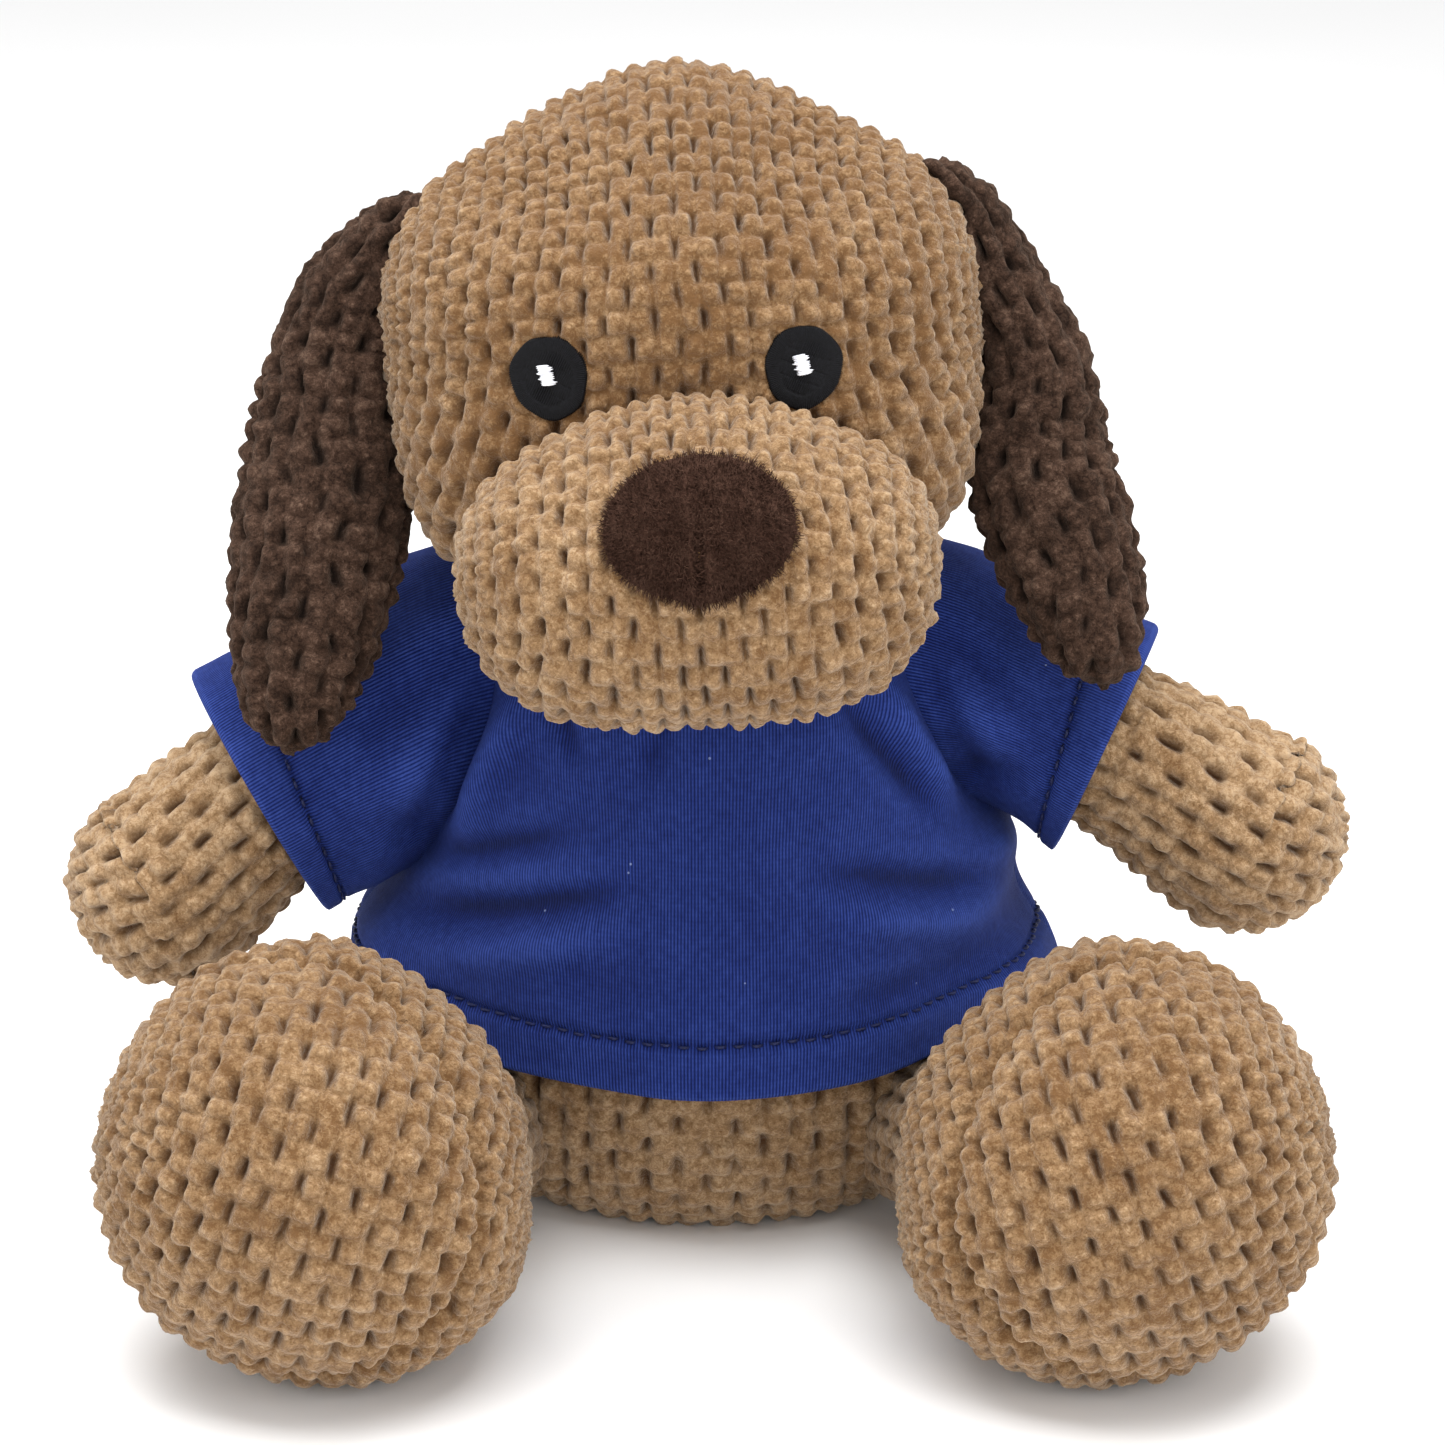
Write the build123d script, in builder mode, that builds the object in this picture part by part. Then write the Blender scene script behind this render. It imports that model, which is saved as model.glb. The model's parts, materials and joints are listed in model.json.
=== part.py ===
"""Sitting plush dog in a short-sleeved shirt, built as its maker sews it.

Frame: millimetres, +Z up. The origin is the middle of the flat seat panel that the toy sits on.
The dog looks along -Y, and its own left side is +X.
"""

import os
from math import cos, radians, sin

from build123d import *

os.makedirs("parts", exist_ok=True)

# ---- cloth and clearances ---------------------------------------------------------------------
PLUSH = 2.0  # thickness of the chenille plush
JERSEY = 1.0  # thickness of the shirt's jersey
EASE = 0.3  # gap between a skin and the stuffing in it
TOUCH = 0.03  # gap between two skins sewn together, so that they share no volume
SEAM_GAP = 1.0  # free space round a ball of stuffing that turns in its seat
HIP_SLACK = 4.0  # more of it at the hips, where the thick legs swing
FAR = 400.0  # wider than the whole toy, for the blocks that only cut

# ---- body -------------------------------------------------------------------------------------
BODY_Y = 5.0  # the body stands this far behind the origin
SEAT_RX, SEAT_RY = 35.0, 29.0  # the flat oval panel that it sits on
SEAT_THICK = 1.6
# height, half width and half depth of the body, from the seat to the neck
BODY_RINGS = [(0, 37, 31), (9, 48, 39), (28, 52, 43), (50, 49, 41), (70, 42, 36), (88, 33, 29), (104, 23, 22)]
# the same from the hem of the shirt to its collar seam
SHIRT_RINGS = [(38, 59, 50), (47, 56.6, 47.6), (62, 50, 43), (78, 42, 37), (92, 34, 31), (103, 27, 25.5)]
THREAD = 0.3  # radius of the sewing thread
COLLAR_HEIGHT = 7.0
COLLAR_SEAM, COLLAR_TOP = (27, 25.5), (24.5, 23.5)  # half width and half depth
COLLAR_THICK = 1.6  # a doubled strip of the jersey

# ---- head -------------------------------------------------------------------------------------
HEAD = Vector(-4, -6, 160)
HEAD_ROLL = 3.4  # the head tips this far to one side, its left side up
HEAD_RX, HEAD_R = 50.0, 41.0
MUZZLE_AT = (1.0, -47.0, -32.0)  # from the head's centre, in the head's own tilted frame
MUZZLE_RX, MUZZLE_R = 37.5, 26.5
NOSE_AT = (2.0, -70.5, -19.5)
NOSE_RX, NOSE_RZ, NOSE_THICK = 15.2, 12.2, 2.2
NOSE_LEAN = 30.0  # the nose patch leans back by this angle
EYE_X, EYE_Z = 20.8, -3.0
EYE_RX, EYE_RZ, EYE_THICK = 6.1, 6.7, 0.9
GLINT_R, GLINT_THICK = 1.7, 0.5
PLUG_BACK, PLUG_LENGTH = 14.0, 30.0  # the plugs that cut out the nose and the eyes
EYE_PLUG_Y = -30.0
NECK = Vector(0, 2, 115)
NECK_R = 13.0

# ---- ears, arms, legs, tail -------------------------------------------------------------------
# Along each ear: middle point (outward, y, z), half width across and half depth front to back
EAR_RINGS = {
    "left": [((49.5, -6, 180.5), 3.2, 7), ((55.5, -7, 166), 8, 8.5), ((57.5, -11, 146), 11.5, 9.5),
             ((61.5, -18, 126), 12, 9.5), ((66.5, -25, 107), 9, 8), ((68, -27, 102), 4.5, 4)],
    "right": [((55.8, -6, 174), 3.2, 7), ((62.8, -7, 160), 8, 8.5), ((65, -12, 140), 13, 9.5),
              ((67, -21, 120), 13.5, 9.5), ((69.5, -29, 102), 9.5, 8), ((70, -31, 96.5), 5, 4.5)],
}
SHOULDER_X, SHOULDER_Y, SHOULDER_Z = 45.0, 1.0, 91.0
ARM_DROOP = {"left": 24.0, "right": 31.0}  # below level
ARM_FORWARD = 11.0  # the arms point this far forward
ARM_ROOT_R, ARM_END_R = 11.0, 16.2
ARM_LENGTH = {"left": 50.0, "right": 55.0}  # shoulder to the middle of the rounded end
SLEEVE_START = 15.0
SLEEVE_END = {"left": 30.0, "right": 37.0}
SLEEVE_START_R = 14.4
SLEEVE_END_R = {"left": 18.0, "right": 20.0}
SLEEVE_BAND = 6.0  # the stitches run this far from the sleeve's edge
ARMHOLE_R = 18.9  # radius of the ball that cuts each armhole
HIP_X, HIP_Y, HIP_Z = 39.5, -22.0, 16.0
FOOT_X = {"left": 64.0, "right": 61.0}
FOOT_Y, FOOT_Z = -79.0, 34.6
LEG_ROOT_R, LEG_MID_R, FOOT_R = 13.0, 15.5, 35.4
LEG_MID = 30.0  # hip to where the leg meets the foot
SOLE_FRONT = 10.0  # the sole panel starts this far in front of the foot's middle
TAIL = Vector(0, 48.2, 14)
TAIL_R, TAIL_LENGTH, TAIL_RISE = 6.6, 18.0, 16.0
POUCH = Vector(0, 18, 14)
POUCH_R, POUCH_HEIGHT, POUCH_EDGE_R, POUCH_CLOTH = 19.0, 15.0, 5.0, 0.6
LABEL = (12.0, 18.0, 0.5)  # the blank care label in the back seam
LABEL_X, LABEL_Z = 24.0, 24.0
SIDES = {"left": 1, "right": -1}


def save(piece, name):
    """Label one finished piece and write it to its own file."""
    piece.part.label = name
    export_step(piece.part, f"parts/{name}.step")


def lofted(rings, grow=0.0):
    """A round form through level ovals of the body, grown outwards by one thickness."""
    with BuildPart() as form:
        for height, half_width, half_depth in rings:
            with BuildSketch(Plane.XY.offset(height)):
                with Locations((0, BODY_Y)):
                    Ellipse(half_width + grow, half_depth + grow)
        loft()
    return form.part


def oval_ball(plane, half_length, radius):
    """An egg of stuffing, round about the plane's X axis."""
    with BuildPart() as form:
        Sphere(radius)
        scale(by=(half_length / radius, 1, 1))
    return plane.location * form.part


def ball(centre, radius):
    """A ball at a point."""
    with BuildPart(Plane(centre)) as form:
        Sphere(radius)
    return form.part


def stuffed_limb(plane, balls, grow=0.0):
    """A limb along the plane's X axis: balls along it, joined by straight tapers where they ask."""
    with BuildPart() as form:
        with BuildSketch(plane):
            for group in balls:
                with BuildSketch(Plane.XY, mode=Mode.PRIVATE) as taper:
                    for along, radius in group:
                        with Locations((along, 0)):
                            Circle(radius + grow)
                    if len(group) > 1:
                        make_hull()
                add(taper.sketch)
            with Locations((0, -FAR / 2)):
                Rectangle(FAR, FAR, mode=Mode.SUBTRACT)
        revolve(axis=Axis(plane.origin, plane.x_dir))
    return form.part


def limb_plane(root, direction):
    """The plane whose X axis runs from the root along the limb."""
    along = Vector(*direction).normalized()
    across = Vector(0, 0, 1).cross(along).normalized()
    return Plane(origin=root, x_dir=along, z_dir=across)


def hollow(outer, inner, *cuts):
    """A sewn skin: an outer form less the room inside it and less what it is cut away for."""
    with BuildPart() as piece:
        add(outer)
        add(inner, mode=Mode.SUBTRACT)
        for cut in cuts:
            add(cut, mode=Mode.SUBTRACT)
    return piece


def filling(form, *cuts):
    """The stuffing of one piece."""
    with BuildPart() as piece:
        add(form)
        for cut in cuts:
            add(cut, mode=Mode.SUBTRACT)
    return piece


# ---- joints: where each limb's ball of stuffing turns ------------------------------------------
shoulders = {side: Vector(sign * SHOULDER_X, SHOULDER_Y, SHOULDER_Z) for side, sign in SIDES.items()}
hips = {side: Vector(sign * HIP_X, HIP_Y, HIP_Z) for side, sign in SIDES.items()}


def joint_seats(extra):
    """The hollows that the limbs' round roots and the neck sit in, as one list of balls."""
    seats = [ball(NECK, NECK_R + extra), ball(TAIL, TAIL_R + extra)]
    for side in SIDES:
        seats.append(ball(shoulders[side], ARM_ROOT_R + extra))
        seats.append(ball(hips[side], LEG_ROOT_R + HIP_SLACK + extra))
    return seats


with BuildPart() as floor_cut:
    with Locations((0, 0, -FAR / 2)):
        Box(FAR, FAR, FAR)

# ---- body: skin, seat panel, stuffing and the weighting pellets --------------------------------
with BuildPart() as seat_panel:
    with BuildSketch():
        with Locations((0, BODY_Y)):
            Ellipse(SEAT_RX, SEAT_RY)
    extrude(amount=SEAT_THICK)
save(seat_panel, "seat_panel")

with BuildPart() as seat_hole:
    with BuildSketch():
        with Locations((0, BODY_Y)):
            Ellipse(SEAT_RX, SEAT_RY)
    extrude(amount=PLUSH + EASE)

body_outer = lofted(BODY_RINGS)
body_inner = lofted([(PLUSH, *BODY_RINGS[0][1:])] + BODY_RINGS[1:-1] + [(102, 23, 22)], grow=-PLUSH)
body_shell = hollow(body_outer, body_inner, seat_hole.part, *joint_seats(SEAM_GAP))
save(body_shell, "body_shell")


def pouch_form(grow):
    """A flat round cushion shape, grown outwards by one thickness."""
    with BuildPart(Plane(POUCH)) as form:
        Cylinder(POUCH_R + grow, POUCH_HEIGHT + 2 * grow)
        fillet(form.edges(), POUCH_EDGE_R + grow)
    return form.part


save(hollow(pouch_form(0), pouch_form(-POUCH_CLOTH)), "pellet_pouch")
save(filling(pouch_form(-POUCH_CLOTH - EASE)), "weight_pellets")

with BuildPart(Plane(POUCH)) as pouch_room:
    Cylinder(POUCH_R + EASE, POUCH_HEIGHT + 2 * EASE)

stuffing_rings = [(PLUSH + 2 * EASE, *BODY_RINGS[0][1:])] + BODY_RINGS[1:-1] + [(101.5, 23, 22)]
body_stuffing = lofted(stuffing_rings, grow=-PLUSH - EASE)
save(filling(body_stuffing, pouch_room.part, *joint_seats(SEAM_GAP + PLUSH)), "body_filling")

with BuildPart() as care_label:
    with Locations((LABEL_X, BODY_Y + BODY_RINGS[2][2] + LABEL[1] / 2, LABEL_Z)):
        Box(*LABEL)
save(care_label, "care_label")

# ---- neck ---------------------------------------------------------------------------------------
save(hollow(ball(NECK, NECK_R), ball(NECK, NECK_R - PLUSH)), "neck_skin")
save(filling(ball(NECK, NECK_R - PLUSH - EASE)), "neck_filling")

# ---- head, muzzle and face ----------------------------------------------------------------------
across = Vector(cos(radians(HEAD_ROLL)), 0, sin(radians(HEAD_ROLL)))
head_plane = Plane(origin=HEAD, x_dir=across, z_dir=(0, -1, 0))


def on_head(x, y, z):
    """A point given in the head's own tilted frame: outward, forward as -Y, and up."""
    return head_plane.from_local_coords(Vector(x, z, -y))


def head_form(grow):
    return oval_ball(head_plane, HEAD_RX + grow, HEAD_R + grow)


muzzle_plane = Plane(origin=on_head(*MUZZLE_AT), x_dir=across, z_dir=(0, -1, 0))


def muzzle_form(grow):
    return oval_ball(muzzle_plane, MUZZLE_RX + grow, MUZZLE_R + grow)


neck_seat = ball(NECK, NECK_R + SEAM_GAP)
neck_room = ball(NECK, NECK_R + SEAM_GAP + PLUSH)
save(hollow(head_form(0), head_form(-PLUSH), neck_seat), "head_shell")
save(filling(head_form(-PLUSH - EASE), neck_room), "head_filling")

# The nose, the eyes and the glints lie on the plush, each cut from a thin layer round its form.
nose_out = (0, -cos(radians(NOSE_LEAN)), sin(radians(NOSE_LEAN)))
nose_plane = Plane(origin=on_head(*NOSE_AT), x_dir=across, z_dir=nose_out)


def oval_plug(plane, half_width, half_height):
    """An oval plug along the plane's normal, to cut a patch out of a layer."""
    with BuildPart() as plug:
        with BuildSketch(plane):
            Ellipse(half_width, half_height)
        extrude(amount=PLUG_LENGTH)
    return plug.part


def eye_plane(side):
    """The plane behind one eye, facing forward."""
    return Plane(origin=on_head(SIDES[side] * EYE_X, EYE_PLUG_Y, EYE_Z), x_dir=across, z_dir=(0, -1, 0))


save(hollow(muzzle_form(0), muzzle_form(-PLUSH), head_form(TOUCH)), "muzzle_shell")
save(filling(muzzle_form(-PLUSH - EASE), head_form(EASE)), "muzzle_filling")

with BuildPart() as nose_patch:
    add(muzzle_form(NOSE_THICK))
    add(oval_plug(nose_plane.offset(-PLUG_BACK), NOSE_RX, NOSE_RZ), mode=Mode.INTERSECT)
    add(muzzle_form(TOUCH), mode=Mode.SUBTRACT)
save(nose_patch, "nose_patch")

for side in SIDES:
    with BuildPart() as eye:
        add(head_form(EYE_THICK))
        add(oval_plug(eye_plane(side), EYE_RX, EYE_RZ), mode=Mode.INTERSECT)
        add(head_form(TOUCH), mode=Mode.SUBTRACT)
    save(eye, f"{side}_eye_embroidery")
    with BuildPart() as glint:
        add(head_form(EYE_THICK + GLINT_THICK))
        add(oval_plug(eye_plane(side), GLINT_R, GLINT_R), mode=Mode.INTERSECT)
        add(head_form(EYE_THICK + TOUCH), mode=Mode.SUBTRACT)
    save(glint, f"{side}_eye_glint")

# ---- ears ---------------------------------------------------------------------------------------
def ear_form(side, grow):
    """A flat sock of stuffing through ovals across the way the ear hangs."""
    rings = EAR_RINGS[side]
    sign = SIDES[side]
    points = [Vector(sign * at[0], at[1], at[2]) for at, _, _ in rings]
    with BuildPart() as form:
        for number, (_, half_width, half_depth) in enumerate(rings):
            before = points[max(number - 1, 0)]
            after = points[min(number + 1, len(points) - 1)]
            down = (after - before).normalized()
            across_ear = Vector(0, 1, 0).cross(down)
            end = {0: -grow, len(rings) - 1: grow}.get(number, 0)
            with BuildSketch(Plane(origin=points[number] + down * end, x_dir=across_ear, z_dir=down)):
                Ellipse(half_width + grow, half_depth + grow)
        loft()
    return form.part


for side in SIDES:
    save(hollow(ear_form(side, 0), ear_form(side, -PLUSH)), f"{side}_ear_shell")
    save(filling(ear_form(side, -PLUSH - EASE)), f"{side}_ear_filling")

# ---- shirt ---------------------------------------------------------------------------------------
shirt_outer = lofted(SHIRT_RINGS)
shirt_rings_inside = [(SHIRT_RINGS[0][0] - 1, *SHIRT_RINGS[0][1:])] + SHIRT_RINGS[1:-1]
shirt_rings_inside.append((SHIRT_RINGS[-1][0] + 1, *SHIRT_RINGS[-1][1:]))
shirt_inner = lofted(shirt_rings_inside, grow=-JERSEY)
armholes = [ball(shoulders[side], ARMHOLE_R) for side in SIDES]
shirt_half = {"shirt_front": Keep.BOTTOM, "shirt_back": Keep.TOP}
for name, kept in shirt_half.items():
    with BuildPart() as half:
        add(shirt_outer)
        add(shirt_inner, mode=Mode.SUBTRACT)
        for armhole in armholes:
            add(armhole, mode=Mode.SUBTRACT)
        split(bisect_by=Plane(origin=(0, BODY_Y, 0), z_dir=(0, 1, 0)), keep=kept)
    save(half, name)

collar_z = SHIRT_RINGS[-1][0]
collar_outer = lofted([(collar_z + 0.1, *COLLAR_SEAM), (collar_z + COLLAR_HEIGHT, *COLLAR_TOP)])
# The cutting form inside is 1 mm longer at both ends and keeps the collar's taper.
collar_inside = [(collar_z - 1, 27.2, 25.8), (collar_z + COLLAR_HEIGHT + 1, 24.3, 23.3)]
save(hollow(collar_outer, lofted(collar_inside, grow=-COLLAR_THICK)), "shirt_collar")

thread_z, thread_rx, thread_ry = SHIRT_RINGS[1]
with BuildPart() as hem_thread:
    with BuildSketch(Plane.XY.offset(thread_z - THREAD)):
        with Locations((0, BODY_Y)):
            Ellipse(thread_rx + 4 * THREAD, thread_ry + 4 * THREAD)
            Ellipse(thread_rx + 2 * THREAD, thread_ry + 2 * THREAD, mode=Mode.SUBTRACT)
    extrude(amount=2 * THREAD)
save(hem_thread, "hem_thread")

# ---- arms and sleeves ----------------------------------------------------------------------------
for side, sign in SIDES.items():
    droop = radians(ARM_DROOP[side])
    forward = radians(ARM_FORWARD)
    direction = (sign * cos(droop) * cos(forward), -cos(droop) * sin(forward), -sin(droop))
    arm_plane = limb_plane(shoulders[side], direction)
    profile = [[(0, ARM_ROOT_R), (ARM_LENGTH[side], ARM_END_R)]]
    save(hollow(stuffed_limb(arm_plane, profile), stuffed_limb(arm_plane, profile, -PLUSH)), f"{side}_arm_shell")
    save(filling(stuffed_limb(arm_plane, profile, -PLUSH - EASE)), f"{side}_arm_filling")

    start, end = SLEEVE_START, SLEEVE_END[side]
    start_r, end_r = SLEEVE_START_R, SLEEVE_END_R[side]
    with BuildPart() as sleeve:
        with BuildSketch(arm_plane):
            with BuildLine():
                Polyline((start, start_r), (end, end_r), (end, end_r + JERSEY), (start, start_r + JERSEY), close=True)
            make_face()
        revolve(axis=Axis(arm_plane.origin, arm_plane.x_dir))
    save(sleeve, f"{side}_sleeve")

    with BuildPart() as sleeve_thread:
        with BuildSketch(arm_plane):
            with Locations((end - SLEEVE_BAND, end_r + JERSEY + THREAD)):
                Circle(THREAD)
        revolve(axis=Axis(arm_plane.origin, arm_plane.x_dir))
    save(sleeve_thread, f"{side}_sleeve_thread")

# ---- legs: the leg piece, the sole panel and their stuffing ---------------------------------------
for side, sign in SIDES.items():
    foot = Vector(sign * FOOT_X[side], FOOT_Y, FOOT_Z)
    reach = foot - hips[side]
    leg_plane = limb_plane(hips[side], tuple(reach))
    profile = [[(0, LEG_ROOT_R), (LEG_MID, LEG_MID_R)], [(reach.length, FOOT_R)]]
    leg_outer = stuffed_limb(leg_plane, profile)
    leg_inner = stuffed_limb(leg_plane, profile, -PLUSH)
    sole_plane = Plane(origin=leg_plane.from_local_coords(Vector(reach.length + SOLE_FRONT, 0, 0)), z_dir=reach)
    for name, kept in ((f"{side}_leg_shell", Keep.BOTTOM), (f"{side}_foot_sole", Keep.TOP)):
        with BuildPart() as skin:
            add(leg_outer)
            add(leg_inner, mode=Mode.SUBTRACT)
            add(floor_cut.part, mode=Mode.SUBTRACT)
            split(bisect_by=sole_plane, keep=kept)
        save(skin, name)
    save(filling(stuffed_limb(leg_plane, profile, -PLUSH - EASE)), f"{side}_leg_filling")

# ---- tail ------------------------------------------------------------------------------------------
tail_plane = limb_plane(TAIL, (0, cos(radians(TAIL_RISE)), sin(radians(TAIL_RISE))))
tail_profile = [[(0, TAIL_R), (TAIL_LENGTH, TAIL_R)]]
save(hollow(stuffed_limb(tail_plane, tail_profile), stuffed_limb(tail_plane, tail_profile, -PLUSH)), "tail_shell")
save(filling(stuffed_limb(tail_plane, tail_profile, -PLUSH - EASE)), "tail_filling")
print("pieces written:", len(os.listdir("parts")))
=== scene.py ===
# %% [markdown]
# # A sitting plush dog in a blue shirt
# The toy is sewn from knobbly chenille plush, stuffed with fibre and dressed in a small jersey
# shirt. The design already gives every piece a place and a size, so this lesson starts from that
# frame and builds the cloth round it, in metres.

# %% Load the frame
import json
import math

import bpy
import numpy as np
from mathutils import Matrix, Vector
from mathutils.bvhtree import BVHTree


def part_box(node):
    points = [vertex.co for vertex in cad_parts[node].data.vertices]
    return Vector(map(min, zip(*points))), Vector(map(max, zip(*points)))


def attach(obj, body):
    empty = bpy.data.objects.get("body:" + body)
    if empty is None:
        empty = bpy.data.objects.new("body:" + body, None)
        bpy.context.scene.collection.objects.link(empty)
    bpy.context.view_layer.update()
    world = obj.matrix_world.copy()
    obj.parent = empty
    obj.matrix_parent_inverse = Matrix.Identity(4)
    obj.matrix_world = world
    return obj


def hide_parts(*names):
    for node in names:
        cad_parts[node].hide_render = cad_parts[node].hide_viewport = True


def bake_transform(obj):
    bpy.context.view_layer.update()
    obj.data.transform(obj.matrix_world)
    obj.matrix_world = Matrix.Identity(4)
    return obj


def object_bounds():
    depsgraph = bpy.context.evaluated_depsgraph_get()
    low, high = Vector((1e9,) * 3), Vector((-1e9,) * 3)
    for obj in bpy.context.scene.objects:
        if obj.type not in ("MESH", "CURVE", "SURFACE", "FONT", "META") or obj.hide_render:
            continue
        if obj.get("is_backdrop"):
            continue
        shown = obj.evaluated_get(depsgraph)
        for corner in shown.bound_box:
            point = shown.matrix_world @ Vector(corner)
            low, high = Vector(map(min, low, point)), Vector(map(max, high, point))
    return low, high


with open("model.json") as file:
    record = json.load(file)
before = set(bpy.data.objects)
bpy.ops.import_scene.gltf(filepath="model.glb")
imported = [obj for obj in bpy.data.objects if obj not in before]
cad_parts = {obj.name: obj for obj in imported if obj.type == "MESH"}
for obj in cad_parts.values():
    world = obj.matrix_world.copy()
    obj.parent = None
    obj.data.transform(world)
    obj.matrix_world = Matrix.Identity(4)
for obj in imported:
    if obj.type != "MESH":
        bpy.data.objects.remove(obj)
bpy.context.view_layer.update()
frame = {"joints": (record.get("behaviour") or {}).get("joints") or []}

mm = 0.001
sides = {"left": 1, "right": -1}  # the dog's own left is +X
joints = {joint["name"]: joint for joint in frame["joints"]}

# %% [markdown]
# ## The camera
# A long lens from a little above eye level keeps the big feet from looking swollen. It is made
# first, so that every piece can be judged from the same place. The lens shift only sets the toy
# a little off the middle of the frame.

# %% Camera
look_at = Vector((0, -10 * mm, 90 * mm))
camera_rise = math.radians(18)
camera_distance = 0.9
camera_data = bpy.data.cameras.new("camera")
camera_data.lens = 131.9
camera_data.shift_x = 0.0121
camera_data.shift_y = -0.0135
camera = bpy.data.objects.new("camera", camera_data)
bpy.context.scene.collection.objects.link(camera)
camera.location = look_at + camera_distance * Vector((0, -math.cos(camera_rise), math.sin(camera_rise)))
camera.rotation_euler = (math.radians(90) - camera_rise, 0, 0)
bpy.context.scene.camera = camera

# %% [markdown]
# ## Floor and light
# A plain pale floor and soft light, as in a small product studio: an even white surround, a large
# panel overhead, and weaker ones in front, at both sides and low down. So the bobbles are modelled
# by soft shade without hard shadows. Colours are shown as they are, with no film look over them.

# %% Floor and light


def light_panel(name, place, size, power):
    """A large soft light that faces the toy."""
    data = bpy.data.lights.new(name, "AREA")
    data.shape = "RECTANGLE"
    data.size = size[0]
    data.size_y = size[1]
    data.energy = power
    light = bpy.data.objects.new(name, data)
    bpy.context.scene.collection.objects.link(light)
    light.location = place
    light.rotation_euler = (look_at - Vector(place)).to_track_quat("-Z", "Y").to_euler()


light_panel("top_light", (-0.05, -0.12, 1.0), (1.1, 0.8), 16.5)
light_panel("front_light", (0.35, -1.1, 0.60), (0.7, 0.7), 2.4)
light_panel("left_light", (0.9, -0.5, 0.32), (0.5, 0.5), 2.0)
light_panel("right_light", (-0.9, -0.5, 0.32), (0.5, 0.5), 2.0)
light_panel("low_light", (0.0, -1.1, 0.12), (1.0, 0.3), 1.4)
world = bpy.data.worlds.new("studio")
world.use_nodes = True
world.node_tree.nodes["Background"].inputs["Color"].default_value = (1, 1, 1, 1)
world.node_tree.nodes["Background"].inputs["Strength"].default_value = 0.72
bpy.context.scene.world = world
bpy.context.scene.view_settings.view_transform = "Standard"

# %% [markdown]
# ## Soft randomness
# Hand-sewn cloth is never even. A field of smooth random lumps in space, the same on every run,
# bends the rows of bobbles, swells some of them and roughens the pile. It is worked out on whole
# arrays at once, which is what makes fine cloth meshes quick enough.

# %% Random lumps in space


def hashed(cells, seed):
    """A fixed random number from -1 to 1 for each whole-number cell."""
    mixed = cells[..., 0] * 374761393 + cells[..., 1] * 668265263 + cells[..., 2] * 1440662683
    mixed = mixed ^ (seed * 69069)
    mixed = (mixed ^ (mixed >> 13)) * 1274126177 & 0x7FFFFFFF
    return ((mixed ^ (mixed >> 15)) & 0xFFFF) / 32767.5 - 1


def smooth(x):
    """Ease from 0 to 1 as x goes from 0 to 1."""
    x = np.clip(x, 0, 1)
    return x * x * (3 - 2 * x)


def cloud(points, size, seed):
    """Smooth random values from -1 to 1 in space, with lumps of about that size."""
    scaled = points / size
    base = np.floor(scaled).astype(np.int64)
    part = smooth(scaled - base)
    total = np.zeros(points.shape[:-1])
    for corner in np.ndindex(2, 2, 2):
        weight = np.prod(np.where(corner, part, 1 - part), axis=-1)
        total += weight * hashed(base + corner, seed)
    return total


def ridge(distance, width):
    """1 on a line, falling softly away to each side."""
    return np.exp(-((distance / width) ** 2))


# %% [markdown]
# ## Meshes from arrays
# Each stuffed form starts as an even net of small squares. A ball is made from a cube pushed out
# to a sphere, because its squares stay nearly the same size all over, where a globe's would pinch
# at two poles. Limbs and cloth are grids.

# %% Nets and mesh objects


def quad_ball(count):
    """Unit directions and square faces of a ball, from a cube with that many faces along an edge."""
    line = np.tan(np.linspace(-1, 1, count + 1) * math.pi / 4)
    a, b = np.meshgrid(line, line, indexing="ij")
    corner = np.arange(count)[:, None] * (count + 1) + np.arange(count)[None, :]
    square = np.stack([corner, corner + count + 1, corner + count + 2, corner + 1], -1).reshape(-1, 4)
    points, faces = [], []
    for side in range(3):
        for sign in (1, -1):
            parts = [None, None, None]
            parts[side] = np.full_like(a, sign)
            parts[(side + 1) % 3] = a
            parts[(side + 2) % 3] = b
            faces.append(square[:, ::sign] + len(points) * (count + 1) ** 2)
            points.append(np.stack(parts, axis=-1).reshape(-1, 3))
    points = np.concatenate(points)
    keys = np.round(points * 1e6).astype(np.int64)
    _, first, where = np.unique(keys, axis=0, return_index=True, return_inverse=True)
    points = points[first]
    return points / np.linalg.norm(points, axis=1)[:, None], where.reshape(-1)[np.concatenate(faces)]


def grid_faces(rows, columns, joined=False):
    """Square faces of a grid of points, joined round from its last column to its first or left open."""
    row = np.arange(rows - 1)[:, None] * columns
    here = np.arange(columns if joined else columns - 1)[None, :]
    after = (here + 1) % columns
    below = row + columns
    return np.stack([row + here, row + after, below + after, below + here], -1).reshape(-1, 4)


def closed_tube(rings):
    """Points and faces of a joined grid of rings with a point at each end."""
    rows, columns = rings.shape[:2]
    points = np.vstack([rings.reshape(-1, 3), rings[0].mean(0), rings[-1].mean(0)])
    here = np.arange(columns)
    after = (here + 1) % columns
    last = (rows - 1) * columns
    start = np.stack([after, here, here * 0 + len(points) - 2], -1)
    end = np.stack([last + here, last + after, here * 0 + len(points) - 1], -1)
    return points, grid_faces(rows, columns, True).tolist() + start.tolist() + end.tolist()


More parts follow.
